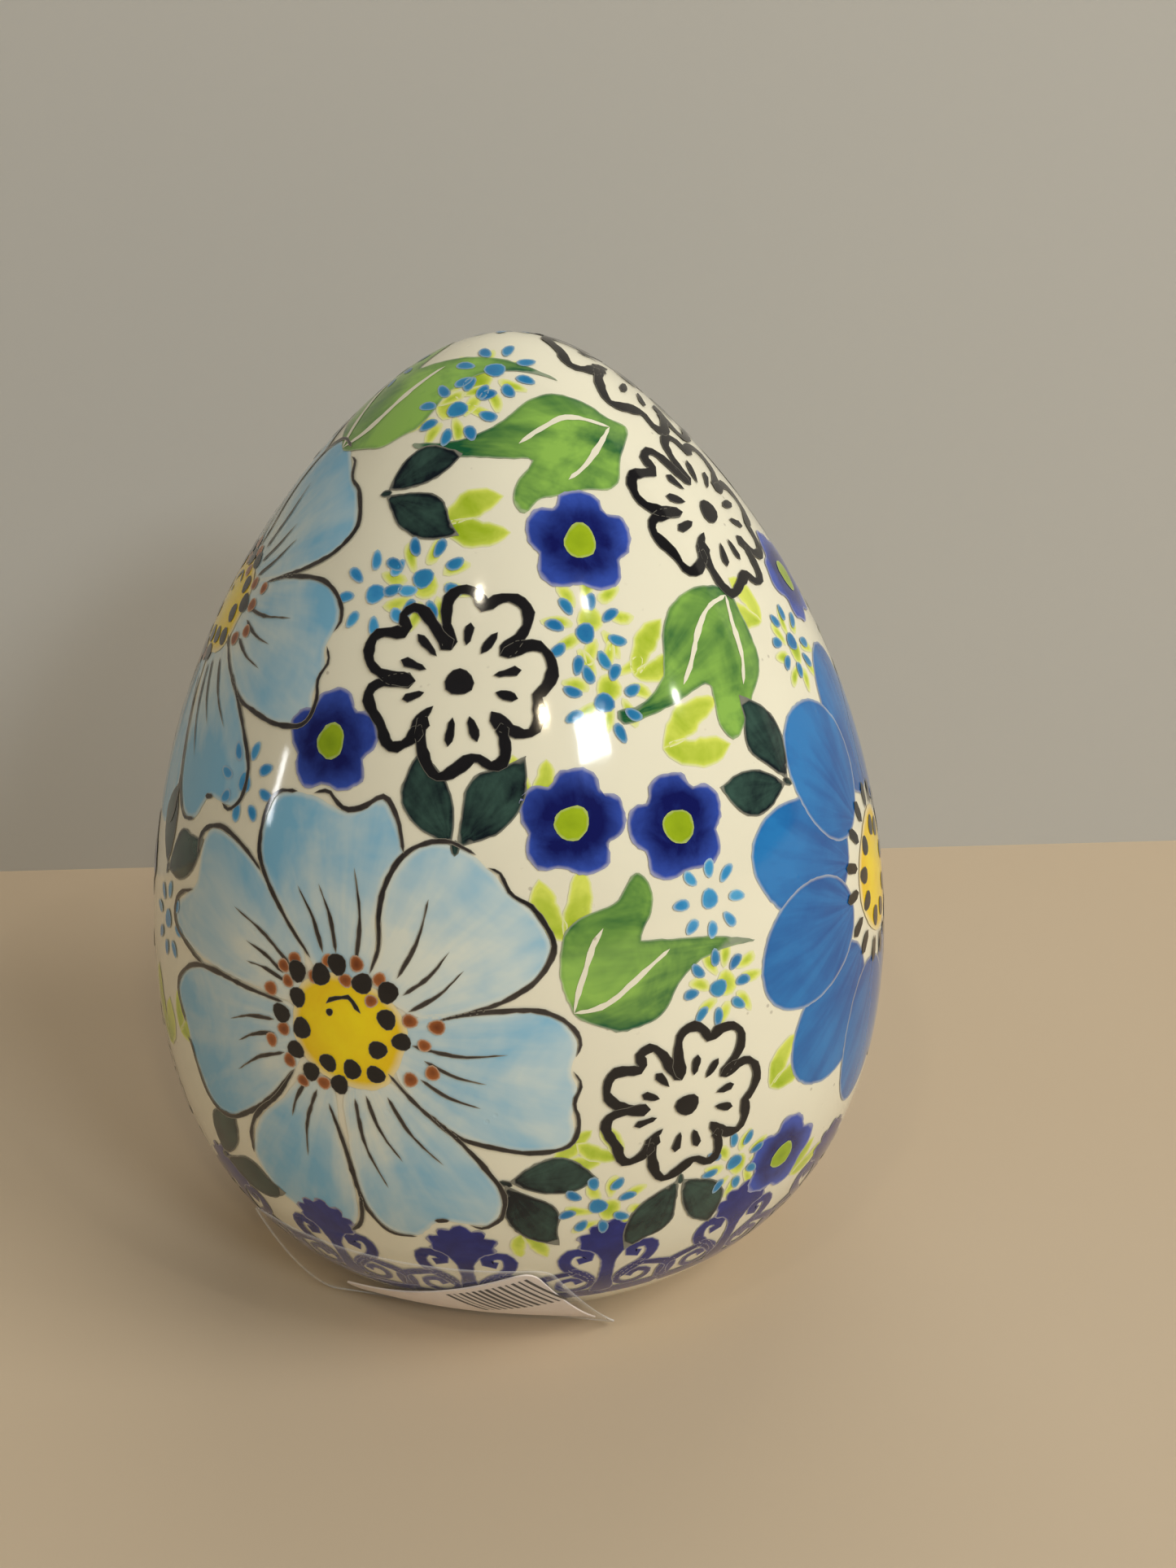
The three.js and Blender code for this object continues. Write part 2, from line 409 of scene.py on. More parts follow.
whiteFlower = {
    "petals": [
        [(-1.2, 3.8), (-2, 7), (-2, 10), (-0.5, 11.3), (1.3, 10.8), (2.5, 9.3), (4, 10.3), (6, 10.4),
         (7.5, 9.2),
         (7.5, 7), (6.2, 5), (4.6, 3.4)],
        [(4.6, 3.4), (7, 4.5), (9, 4.9), (10.6, 3.5), (10.9, 1.5), (10, -0.5), (9.3, -1), (9.7, -3.5),
         (9, -5.5),
         (7, -5.6), (5, -4.5), (4, -3.3)],
        [(5.2, -4.6), (6, -8), (5.5, -9.5), (4, -9.7), (2.7, -8.8), (1.5, -9.3), (-0.5, -10.8), (-2, -11.3),
         (-3.3, -10), (-4.2, -7.5), (-4.3, -5.5), (-3.6, -4.2)],
        [(-4.3, -5.2), (-5.5, -7), (-7.5, -8), (-8.7, -7.2), (-9.3, -5.5), (-10.8, -3.3), (-11.3, -1.8),
         (-10.5, -0.5), (-8, 0), (-5.3, 0)],
        [(-5.3, 0), (-9, 0.5), (-11.2, 2), (-11.6, 4), (-10.5, 5.8), (-7, 6), (-7.5, 8), (-6, 9), (-4.5, 8),
         (-3, 6), (-1.2, 3.8)],
    ],
    "petalTurns": [20, 89, 173, 238, 302],
    "lineWidth": 1.42,
    "pressure": (1.3, 1, 0.9, 1.1, 0.9, 1, 1.3),
}


def paintWhiteFlower(place):
    for petal in whiteFlower["petals"]:
        strokeLine(paints["black"], place, petal, whiteFlower["lineWidth"], whiteFlower["pressure"], 0.15)
    dab(paints["black"], place, 0, 0, 1.7)
    for turn in whiteFlower["petalTurns"]:
        for lean in (-13, 14):
            angle = math.radians(turn + lean)
            near, far = 4.1 + dice.random() * 0.4, 7.1 + dice.random() * 0.8
            start = (near * math.sin(angle), near * math.cos(angle))
            end = (far * math.sin(angle), far * math.cos(angle))
            strokeLine(paints["black"], place, [start, end], 1.1, (0.55, 0.9, 1.1, 1), 0.12)


cobaltFlower = {"lobes": 5, "lobeReach": 6.7, "notchReach": 4.5, "heart": 2.0, "points": 45}


def paintCobaltFlower(place):
    turns = np.linspace(0, 2 * math.pi, cobaltFlower["points"], endpoint=False)
    lobe = np.abs(np.cos(turns * cobaltFlower["lobes"] / 2)) ** 0.55
    ripple = 0.16 * np.sin(turns * 9 + dice.random() * 6) + 0.1 * np.sin(turns * 14 + dice.random() * 6)
    depth = cobaltFlower["lobeReach"] - cobaltFlower["notchReach"]
    reach = cobaltFlower["notchReach"] + depth * lobe + ripple
    outline = np.stack([reach * np.sin(turns), reach * np.cos(turns)], -1)
    fillShape(paints["cobalt"], place, outline, centre=(0, 0), reach=cobaltFlower["lobeReach"])
    heart = ovalRing(0, 0, cobaltFlower["heart"], cobaltFlower["heart"] * 1.1)
    fillShape(paints["limeHeart"], place, heart, centre=(0, 0), reach=cobaltFlower["heart"])


def paintDotFlower(place, paint, count=8):
    dab(paint, place, 0, 0, 1.3)
    start = dice.random() * 40
    for petal in range(count):
        angle = start + 360 * petal / count + 8 * (dice.random() - 0.5)
        reach = 3.9 + 0.35 * dice.random()
        x, y = reach * math.sin(math.radians(angle)), reach * math.cos(math.radians(angle))
        dab(paint, place, x, y, 0.74, 1.18 + 0.15 * dice.random(), angle)


leaves = {
    "long": {
        "outline": [(-17, -2), (-14, -2.2), (-10.5, -0.5), (-9, 2), (-8, 4.5), (-6, 7), (-3, 8.4), (0, 8.7),
                    (3, 8), (4.8, 7), (5.3, 4), (5.6, 0), (5, -3), (2, -6), (0, -8), (-2.5, -10),
                    (-4, -9.5),
                    (-4.7, -7), (-4.2, -3), (-7, -3), (-10, -3.6), (-14, -3.9), (-17, -3.6)],
        "veins": [[(-7.8, -1.8), (-5.5, 0.5), (-3, 3.5), (0, 5.8), (3.8, 6.6)],
                  [(3.8, 6.6), (3, 3), (2.5, -1), (1, -4.3)]],
        "tail": (-17, -3),
    },
    "reaching": {
        "outline": [(-16.5, 7.3), (-13, 5.8), (-9.5, 5.2), (-5, 6.5), (-1, 9), (2.5, 9.5), (6, 8), (8.5, 6),
                    (10.8, 5), (10.3, 3), (8.5, 0), (7.5, -3), (6, -4.5), (3, -4.5), (-1, -5), (-3, -5),
                    (-5.3, -6.5), (-6.3, -5), (-5.5, -2.5), (-3, 0.2), (-6, 1), (-11, 2.8), (-14.5, 4.8)],
        "veins": [[(-4, 2.7), (-1, 4.3), (3, 5.8), (8.2, 4.5)], [(8.2, 4.5), (5, 0.5), (3, -1.5),
                   (0.8, -3)]],
        "tail": (-16.5, 7),
    },
    "broad": {
        "outline": [(0, 11.3), (1.5, 10), (1.8, 7), (0.5, 4.5), (0, 3.2), (2, 2.9), (8, 2.2), (12, 1.2),
                    (15.5, 0), (12, 0.1), (9, -0.3), (7, -1), (4.5, -3), (2.5, -6), (0.5, -7.2), (-3, -7.8),
                    (-5, -7), (-8, -5.5), (-9, -4), (-10, 0), (-9.5, 4), (-8.5, 6), (-6, 7.2), (-3, 8),
                    (-1.5, 9.5)],
        "veins": [[(-4.5, 5.3), (-5.8, 3.5), (-6.8, 1), (-8, -2), (-8.7, -4.6)],
                  [(-8.7, -4.6), (-5.5, -4.3), (-3, -3), (0, -0.8), (3.5, 1.5)]],
        "tail": (15, 0.5),
    },
}


def paintLeaf(place, kind):
    leaf = leaves[kind]
    fillShape(paints["leaf"], place, leaf["outline"], centre=leaf["tail"], reach=22)
    for vein in leaf["veins"]:
        strokeLine(paints["vein"], place, vein, 0.75, (0.5, 1, 0.9, 0.5), 0.15)


# A point that is given twice stays sharp: it is a leaf tip.
darkPair = {
    "left": [(-5.2, 5.6), (-5.2, 5.6), (-6.3, 3), (-6.7, 0.4), (-5.4, -1.9), (-3, -3.4), (-0.5, -4.2),
             (-0.5, -4.2), (-0.35, -1.6), (-1.0, 1.3), (-2.6, 3.8)],
    "right": [(6.6, 6.4), (6.6, 6.4), (7.0, 4.2), (7.0, 2), (6.2, -0.4), (4.2, -2.6), (0.2, -4.4),
              (0.2, -4.4),
              (0.25, -1), (0.5, 2.2), (1.9, 4), (4.2, 4.9)],
}


def paintDarkPair(place):
    fillShape(paints["darkLeaf"], place, darkPair["left"], centre=(-0.5, -4), reach=11)
    fillShape(paints["darkLeaf"], place, darkPair["right"], centre=(0.5, -4), reach=11)
    strokeLine(paints["darkLeaf"], place, [(-0.1, -3.6), (0, -5.4)], 1.1, (1, 1, 0.5), 0.05)


# Watery lime leaves: two or three broad strokes from one foot, each with a darker middle.
def paintLimeSpray(place, leans=(-22, 12), length=8.6, width=3.5):
    for lean in leans:
        angle = math.radians(lean)
        reach = length * (0.85 + 0.3 * dice.random())
        tip = (reach * math.sin(angle), reach * math.cos(angle))
        bow = (tip[0] / 2 + 0.8 * math.cos(angle) * (1 if lean > 0 else -1), tip[1] / 2)
        strokeLine(paints["lime"], place, [(0, 0), bow, tip], width, (0.35, 0.8, 1.05, 0.85, 0.4), 0.09)


# Under some dot flowers lies a lime one, a little off centre, so that the two weave into each other.
def paintLimeBed(place, reach=4.1, count=8):
    offX, offY = 1.7 * math.cos(dice.random() * 6), 1.7 * math.sin(dice.random() * 6)
    for leaf in range(count):
        angle = 360 * (leaf + 0.3 * dice.random()) / count
        x = offX + reach * math.sin(math.radians(angle))
        y = offY + reach * math.cos(math.radians(angle))
        dab(paints["lime"], place, x, y, 0.85, 1.9, angle + 12, wobble=0.1)
    dab(paints["lime"], place, offX, offY, 1.6, 1.9)


skyFlower = {
    "petals": 11,
    "middle": 21,  # how far out the middle of a petal is
    "length": 10.2,
    "width": 8,
    "foot": 10,
    "dashes": 16,
    "dashNear": 8.6,
    "dashFar": 12.2,
    "dots": 9,
    "dotsOut": 6,
    "heart": 8,
}


def paintSkyFlower(place, firstTurn=5):
    for petal in range(skyFlower["petals"]):
        turn = firstTurn - 360 * petal / skyFlower["petals"] + 4 * (dice.random() - 0.5)
        angle = math.radians(turn)
        middle = skyFlower["middle"] + 1.2 * (dice.random() - 0.5)
        centre = (middle * math.sin(angle), middle * math.cos(angle))
        ring = ovalRing(*centre, skyFlower["width"], skyFlower["length"], turn, 0.025)
        foot = (skyFlower["foot"] * math.sin(angle), skyFlower["foot"] * math.cos(angle))
        last = petal == skyFlower["petals"] - 1
        lift = 1.5 if last else 0.5 + 0.5 * (petal % 2)  # each petal lies over or under both its neighbours
        fillShape(paints["sky"], place, ring, centre=foot, reach=21, lift=lift)
    fillShape(paints["yellow"], place, ovalRing(0, 0, skyFlower["heart"], skyFlower["heart"]), (0, 0), 8)
    for dash in range(skyFlower["dashes"]):
        angle = 2 * math.pi * (dash + 0.2 * dice.random()) / skyFlower["dashes"]
        side, forward = math.sin(angle), math.cos(angle)
        near, far = skyFlower["dashNear"], skyFlower["dashFar"]
        path = [(near * side, near * forward), (far * side, far * forward)]
        strokeLine(paints["black"], place, path, 1.5, (0.75, 1, 1), 0.05)
    for dot in range(skyFlower["dots"]):
        angle = 2 * math.pi * (dot + 0.3 * dice.random()) / skyFlower["dots"]
        x, y = skyFlower["dotsOut"] * math.sin(angle), skyFlower["dotsOut"] * math.cos(angle)
        dab(paints["black"], place, x, y, 1.2, 1.45, math.degrees(angle))


lace = {"repeats": 16, "climb": 24, "firstAzimuth": -10, "bandLow": -6.2, "bandHigh": -3.4}


crown = {
    "halfFan": [(0, 13.3), (0.8, 13), (1.2, 12.3), (2.1, 12.6), (2.9, 12), (2.7, 11.1), (3.7, 11),
                (4.2, 10.1),
                (3.6, 9.3), (4.0, 8.6), (3.4, 7.8), (2.4, 7.5), (1.6, 6.4), (1.1, 5), (0.95, 3),
                (1.1, 0), (1.5, -4)],
    "volute": [(1.3, -1), (3.1, 1.7), (5, 4), (5.4, 6.1), (4.5, 7.5), (3, 7.2), (2.5, 6.1), (3.3, 5.5),
               (4, 6.1)],
    "scroll": [(4.9, 3.6), (3.2, 2.6), (1.7, 0.5), (2, -1.9), (3.9, -2.9), (5.7, -1.8), (5.8, 0.1),
               (4.4, 0.9),
               (3.3, 0.1), (3.7, -0.9)],
}


# One crown of the lace border. It is drawn upright; neighbours meet in the band below.
def paintCrown(place, pitch):
    border = paints["lace"]
    half = crown["halfFan"]
    fillShape(border, place, half + mirrored(half[:0:-1]), centre=(0, 0), reach=13, lift=0.8)
    bridge = [(3.4, 2.6), (5.6, 2.4), (pitch / 2 + 0.4, 0.4), (pitch / 2 + 0.2, -4)]
    for curl, width, swells in ((crown["volute"], 1.5, (0.7, 1, 1.15, 1.2, 1.1, 1.35)),
                                (crown["scroll"], 1.1, (1, 1, 1, 0.95, 1.3)),
                                (bridge, 1.7, (0.6, 0.9, 1, 1.1))):
        strokeLine(border, place, curl, width, swells, 0.05, 0.4)
        strokeLine(border, place, mirrored(curl), width, swells, 0.05, 0.4)


def paintLaceBorder():
    pitch = 2 * math.pi / lace["repeats"] * np.interp(lace["climb"], climbTable, radiusTable)
    low, high = lace["bandLow"], lace["bandHigh"]
    middle, half = (low + high) / 2, pitch / 2 + 0.2
    for repeat in range(lace["repeats"]):
        place = spot(lace["firstAzimuth"] + 360 * repeat / lace["repeats"], lace["climb"])
        paintCrown(place, pitch)
        strokeLine(paints["lace"], place, [(-half, middle), (half, middle)], high - low, (1, 1), 0.02, 0.1)


# Where each motif sits: degrees round from the front, mm up the glaze, turn, size.
frontLayout = {
    "pale": [(-24.5, 63.8, 0, 1), (-80, 107.5, -20, 0.96)],
    "sky": [(71.9, 68.8, 0, 1)],
    "white": [(-10, 106.5, 0, 0.98), (22.8, 52.8, 6, 0.92), (60.3, 122.5, 18, 0.98), (98, 140.8, 96, 1.04)],
    "cobalt": [(16.9, 123, 12, 1), (-32.2, 97.9, -6, 0.96), (8.1, 89.9, 12, 0.98), (24.9, 87.7, -6, 0.98),
               (41.6, 38.8, 12, 0.93), (80.1, 109.3, 0, 1)],
    "dots": [(-30.4, 116, 0, 1), (-48.7, 89.9, 0, 1), (28.3, 78.3, 0, 0.95), (-66.4, 66.6, 0, 1)],
    "limeDots": [(-20, 118.6, 0, 1), (14.1, 111.8, 0, 0.95), (15.6, 103.4, 0, 0.95), (28.3, 67.1, 0, 0.92),
                 (31.5, 41.6, 0, 0.9), (64.3, 103.2, 0, 0.95), (10, 39.9, 0, 0.95), (-24, 141.2, 0, 1),
                 (-9, 148, 0, 1)],
    "leaves": [(16, 134, 0, 1, "reaching"), (43, 106, 0, 1, "long"), (17, 72, 0, 1, "broad"),
               (-62, 143.5, -45, 1.2, "broad")],
    "darkPairs": [(-28, 129.5, 78, 0.92), (-9, 92, 4, 1.06), (43.5, 91.5, -50, 1), (1.5, 42.3, 118, 1),
                  (22.5, 37.3, 178, 1), (-67, 77, 20, 1), (-50, 38, 60, 1)],
    "limeSprays": [(-18, 125.5, 78, 1.05), (24.5, 97, 84, 1.05), (6.2, 76, 2, 0.95), (2.2, 91.5, 5, 0.75),
                   (37, 51, 60, 0.9), (57, 107.5, -30, 0.95), (22, 106, 62, 0.85), (3.5, 46.5, 66, 0.8),
                   (-1, 36, 170, 0.6), (17, 117.5, 10, 0.5), (13, 47, -40, 0.7), (-70, 47, 10, 1.2),
                   (-62, 52, 40, 1), (46, 33, 60, 0.8)],
}
backLayout = {
    "pale": [(150, 62, 40, 1), (172, 112, 100, 0.8)],
    "sky": [(-125, 66, 15, 0.88)],
    "white": [(107, 44.5, 15, 0.74), (118, 104, 10, 0.95), (-125, 125, 30, 0.95), (-163, 41, 0, 0.88),
              (-82, 38, 0, 0.8)],
    "cobalt": [(-162, 86, 0, 1), (-146, 97, 20, 0.95), (150, 144, 10, 0.95), (178, 33, 0, 0.9),
               (-86, 69, 8, 0.95)],
    "dots": [(119, 37, 0, 0.8), (-150, 109, 0, 0.9), (134, 94.5, 0, 0.85), (-178, 152, 0, 0.95)],
    "limeDots": [(98, 99, 0, 0.9), (-170, 55.5, 0, 0.85), (-104, 143, 0, 0.9), (-135, 111, 0, 0.8)],
    "leaves": [(112, 121, -25, 0.8, "long"), (-155, 137, 20, 0.85, "reaching"),
               (-166, 67, 0, 0.7, "broad"),
               (-90, 56, 0, 0.75, "broad")],
    "darkPairs": [(113, 84, 10, 0.9), (-136, 104, -20, 0.85), (85, 35, -20, 0.9), (-146, 36, 30, 0.85),
                  (136, 133, 0, 0.8)],
    "limeSprays": [(113, 90, 20, 0.8), (112, 58, 5, 0.8), (-157, 78, 40, 0.9), (-175, 47, 10, 0.8),
                   (-140, 90, 10, 0.7),
                   (-94, 50, 200, 0.9), (150, 92, 30, 0.6), (-100, 36, 70, 0.7), (125, 88, 70, 0.8),
                   (-118, 108, 160, 0.7), (176, 140, 60, 0.7), (142, 34, -60, 0.7)],
}


def paintLayout(layout):
    for azimuth, climb, turn, size in layout["limeSprays"]:
        paintLimeSpray(spot(azimuth, climb, turn, size))
    for azimuth, climb, turn, size in layout["limeDots"]:
        paintLimeBed(spot(azimuth, climb, turn, size))
        paintDotFlower(spot(azimuth, climb, turn, size), paints["teal"])
    for azimuth, climb, turn, size in layout["dots"]:
        paintDotFlower(spot(azimuth, climb, turn, size), paints["turquoise"])
    for azimuth, climb, turn, size, kind in layout["leaves"]:
        paintLeaf(spot(azimuth, climb, turn, size), kind)
    for azimuth, climb, turn, size in layout["darkPairs"]:
        paintDarkPair(spot(azimuth, climb, turn, size))
    for azimuth, climb, turn, size in layout["cobalt"]:
        paintCobaltFlower(spot(azimuth, climb, turn, size))
    for azimuth, climb, turn, size in layout["sky"]:
        paintSkyFlower(spot(azimuth, climb, turn, size))
    for azimuth, climb, turn, size in layout["pale"]:
        paintPaleFlower(spot(azimuth, climb, turn, size))
    for azimuth, climb, turn, size in layout["white"]:
        paintWhiteFlower(spot(azimuth, climb, turn, size))


def addNode(tree, kind, **values):
    node = tree.nodes.new(kind)
    for name, value in values.items():
        setattr(node, name, value)
    return node


def newGroup(name, inputs, outputs):
    tree = bpy.data.node_groups.new(name, "ShaderNodeTree")
    for label, kind, value in inputs:
        socket = tree.interface.new_socket(name=label, in_out="INPUT", socket_type=kind)
        socket.default_value = value
    for label, kind in outputs:
        tree.interface.new_socket(name=label, in_out="OUTPUT", socket_type=kind)
    return tree, addNode(tree, "NodeGroupInput"), addNode(tree, "NodeGroupOutput")


def mathNode(tree, operation, first, second=None, clamp=False):
    node = addNode(tree, "ShaderNodeMath", operation=operation, use_clamp=clamp)
    for socket, value in zip(node.inputs, (first, second)):
        if value is None:
            continue
        if isinstance(value, (int, float)):
            socket.default_value = value
        else:
            tree.links.new(value, socket)
    return node.outputs[0]


def rangeNode(tree, value, low, high, toLow=0, toHigh=1):
    node = addNode(tree, "ShaderNodeMapRange", interpolation_type="SMOOTHSTEP")
    tree.links.new(value, node.inputs["Value"])
    for label, setting in (("From Min", low), ("From Max", high), ("To Min", toLow), ("To Max", toHigh)):
        if isinstance(setting, (int, float)):
            node.inputs[label].default_value = setting
        else:
            tree.links.new(setting, node.inputs[label])
    return node.outputs["Result"]


def mixColour(tree, factor, first, second):
    node = addNode(tree, "ShaderNodeMix", data_type="RGBA")
    for socket, value in ((node.inputs["Factor"], factor), (node.inputs["A"], first),
                         (node.inputs["B"], second)):
        if isinstance(value, (tuple, float, int)):
            socket.default_value = value
        else:
            tree.links.new(value, socket)
    return node.outputs["Result"]


def markField(tree, name):
    node = addNode(tree, "ShaderNodeAttribute", attribute_type="GEOMETRY", attribute_name=name)
    return node.outputs["Fac"]


def noiseNode(tree, scale, detail=3, roughness=0.5, distortion=0):
    coordinates = addNode(tree, "ShaderNodeTexCoord").outputs["Object"]
    node = addNode(tree, "ShaderNodeTexNoise")
    tree.links.new(coordinates, node.inputs["Vector"])
    if isinstance(scale, (int, float)):
        node.inputs["Scale"].default_value = scale
    else:
        tree.links.new(scale, node.inputs["Scale"])
    node.inputs["Detail"].default_value = detail
    node.inputs["Roughness"].default_value = roughness
    node.inputs["Distortion"].default_value = distortion
    return node.outputs["Fac"]


# Streaks that fan out from the foot of each stroke, from -1 to 1.
def strokeStreaks(tree):
    across = mathNode(tree, "MULTIPLY", markField(tree, "around"), 7.0)
    along = mathNode(tree, "MULTIPLY", markField(tree, "along"), 1.6)
    apart = mathNode(tree, "MULTIPLY", markField(tree, "seed"), 60.0)
    joined = addNode(tree, "ShaderNodeCombineXYZ")
    for value, socket in zip((across, along, apart), joined.inputs):
        tree.links.new(value, socket)
    noise = addNode(tree, "ShaderNodeTexNoise")
    tree.links.new(joined.outputs["Vector"], noise.inputs["Vector"])
    noise.inputs["Scale"].default_value = 1.0
    noise.inputs["Detail"].default_value = 3
    return rangeNode(tree, noise.outputs["Fac"], 0.3, 0.7, -1, 1)


# Watery underglaze colour: drifts from Deep to Light along the mark, patchy, pooled dark at its rim.
def makeBrushedPigment():
    tree, given, out = newGroup("brushedPigment", [
        ("Deep", "NodeSocketColor", (0, 0, 0, 1)),
        ("Light", "NodeSocketColor", (1, 1, 1, 1)),
        ("Cream", "NodeSocketColor", (0.8, 0.77, 0.66, 1)),
        ("Along From", "NodeSocketFloat", 0.0),
        ("Along To", "NodeSocketFloat", 1.0),
        ("Along Amount", "NodeSocketFloat", 0.5),
        ("Patch Scale", "NodeSocketFloat", 180.0),
        ("Patchiness", "NodeSocketFloat", 0.4),
        ("Streaks", "NodeSocketFloat", 0.0),
        ("Pool", "NodeSocketFloat", 0.3),
        ("Pool Width", "NodeSocketFloat", 0.7),
        ("Soft Edge", "NodeSocketFloat", 0.5),
        ("Edge Width", "NodeSocketFloat", 0.25),
    ], [("Colour", "NodeSocketColor")])
    rim = markField(tree, "rim")
    drift = rangeNode(tree, markField(tree, "along"), given.outputs["Along From"], given.outputs["Along To"])
    drift = mathNode(tree, "MULTIPLY", drift, given.outputs["Along Amount"])
    patch = mathNode(tree, "SUBTRACT", noiseNode(tree, given.outputs["Patch Scale"], 4, 0.6, 0.4), 0.5)
    patch = mathNode(tree, "MULTIPLY", patch, 2.6)
    patch = mathNode(tree, "MULTIPLY", patch, given.outputs["Patchiness"])
    streak = mathNode(tree, "MULTIPLY", strokeStreaks(tree), given.outputs["Streaks"])
    patch = mathNode(tree, "ADD", patch, streak)
    tone = mathNode(tree, "MULTIPLY", mathNode(tree, "SUBTRACT", markField(tree, "seed"), 0.5), 0.25)
    pool = rangeNode(tree, rim, 0.0, given.outputs["Pool Width"], 1, 0)
    pool = mathNode(tree, "MULTIPLY", pool, given.outputs["Pool"])
    rest = mathNode(tree, "SUBTRACT", 0.5, mathNode(tree, "MULTIPLY", given.outputs["Along Amount"], 0.5))
    shade = mathNode(tree, "ADD", mathNode(tree, "ADD", drift, rest), mathNode(tree, "ADD", patch, tone))
    shade = mathNode(tree, "SUBTRACT", shade, pool, clamp=True)
    colour = mixColour(tree, shade, given.outputs["Deep"], given.outputs["Light"])
    soft = rangeNode(tree, rim, 0.0, given.outputs["Edge Width"], 1, 0)
    soft = mathNode(tree, "MULTIPLY", soft, given.outputs["Soft Edge"])
    tree.links.new(mixColour(tree, soft, colour, given.outputs["Cream"]), out.inputs["Colour"])
    return tree


# The glaze over everything: it lies in long shallow waves with a few pinholes, so gloss varies a little.
def makeGlazeSkin():
    tree, given, out = newGroup("glazeSkin", [
        ("Gloss Drift", "NodeSocketFloat", 0.05),
        ("Pinholes", "NodeSocketFloat", 0.25),
    ], [("Roughness", "NodeSocketFloat"), ("Height", "NodeSocketFloat")])
    waves = noiseNode(tree, 55.0, 2, 0.45)
    peel = noiseNode(tree, 900.0, 2, 0.5)  # as fine as orange peel
    coordinates = addNode(tree, "ShaderNodeTexCoord").outputs["Object"]
    cells = addNode(tree, "ShaderNodeTexVoronoi", feature="F1")
    cells.inputs["Scale"].default_value = 260
    tree.links.new(coordinates, cells.inputs["Vector"])
    pit = rangeNode(tree, cells.outputs["Distance"], 0.05, 0.11, 1, 0)
    chosen = mathNode(tree, "GREATER_THAN", noiseNode(tree, 170.0, 0, 0.5), 0.62)
    pit = mathNode(tree, "MULTIPLY", mathNode(tree, "MULTIPLY", pit, chosen), given.outputs["Pinholes"])
    gloss = mathNode(tree, "MULTIPLY", waves, given.outputs["Gloss Drift"])
    gloss = mathNode(tree, "ADD", gloss, mathNode(tree, "MULTIPLY", pit, 0.4))
    tree.links.new(mathNode(tree, "ADD", gloss, 0.055), out.inputs["Roughness"])
    height = mathNode(tree, "MULTIPLY", waves, 0.8)
    height = mathNode(tree, "ADD", height, mathNode(tree, "MULTIPLY", peel, 0.035))
    tree.links.new(mathNode(tree, "SUBTRACT", height, pit), out.inputs["Height"])
    return tree


# Fine iron specks in the stoneware that show through the glaze.
def makeClaySpecks():
    tree, given, out = newGroup("claySpecks", [
        ("Clay", "NodeSocketColor", (0.8, 0.77, 0.66, 1)),
        ("Shade", "NodeSocketColor", (0.7, 0.66, 0.55, 1)),
        ("Speck", "NodeSocketColor", (0.25, 0.2, 0.14, 1)),
        ("Amount", "NodeSocketFloat", 0.5),
    ], [("Colour", "NodeSocketColor")])
    cloud = rangeNode(tree, noiseNode(tree, 30.0, 3, 0.6), 0.35, 0.7)
    cloud = mathNode(tree, "MULTIPLY", cloud, 0.35)
    base = mixColour(tree, cloud, given.outputs["Clay"], given.outputs["Shade"])
    coordinates = addNode(tree, "ShaderNodeTexCoord").outputs["Object"]
    cells = addNode(tree, "ShaderNodeTexVoronoi", feature="F1")
    cells.inputs["Scale"].default_value = 420
    tree.links.new(coordinates, cells.inputs["Vector"])
    dot = rangeNode(tree, cells.outputs["Distance"], 0.05, 0.14, 1, 0)
    chosen = rangeNode(tree, noiseNode(tree, 330.0, 1, 0.5), 0.55, 0.62)
    speck = mathNode(tree, "MULTIPLY", mathNode(tree, "MULTIPLY", dot, chosen), given.outputs["Amount"])
    tree.links.new(mixColour(tree, speck, base, given.outputs["Speck"]), out.inputs["Colour"])
    return tree


brushedPigment = makeBrushedPigment()
glazeSkin = makeGlazeSkin()
claySpecks = makeClaySpecks()


def linear(red, green, blue):
    values = [channel / 255 for channel in (red, green, blue)]
    bent = [value / 12.92 if value <= 0.04045 else ((value + 0.055) / 1.055) ** 2.4 for value in values]
    return (*bent, 1)


cream = linear(234, 229, 205)


def newMaterial(name, roughness=0.3):
    material = bpy.data.materials.new(name)
    material.use_nodes = True
    tree = material.node_tree
    shader = tree.nodes["Principled BSDF"]
    shader.inputs["Roughness"].default_value = roughness
    return material, tree, shader


def placeGroup(tree, group, values):
    node = addNode(tree, "ShaderNodeGroup", node_tree=group)
    for label, value in values.items():
        node.inputs[label].default_value = value
    return node


def addGlaze(tree, shader, strength=0.25):
    skin = placeGroup(tree, glazeSkin, {"Gloss Drift": 0.05, "Pinholes": 0.25})
    bump = addNode(tree, "ShaderNodeBump")
    bump.inputs["Strength"].default_value = strength
    bump.inputs["Distance"].default_value = 0.0004
    tree.links.new(skin.outputs["Height"], bump.inputs["Height"])
    tree.links.new(bump.outputs["Normal"], shader.inputs["Normal"])
    tree.links.new(skin.outputs["Roughness"], shader.inputs["Roughness"])


def pigmentMaterial(name, values):
    material, tree, shader = newMaterial(name)
    group = placeGroup(tree, brushedPigment, {"Cream": cream, **values})
    tree.links.new(group.outputs["Colour"], shader.inputs["Base Color"])
    addGlaze(tree, shader)
    return material


def creamGlaze():
    material, tree, shader = newMaterial("creamGlaze")
    group = placeGroup(tree, claySpecks, {"Clay": cream, "Shade": linear(220, 213, 190), "Amount": 0.45})
    tree.links.new(group.outputs["Colour"], shader.inputs["Base Color"])
    addGlaze(tree, shader)
    return material


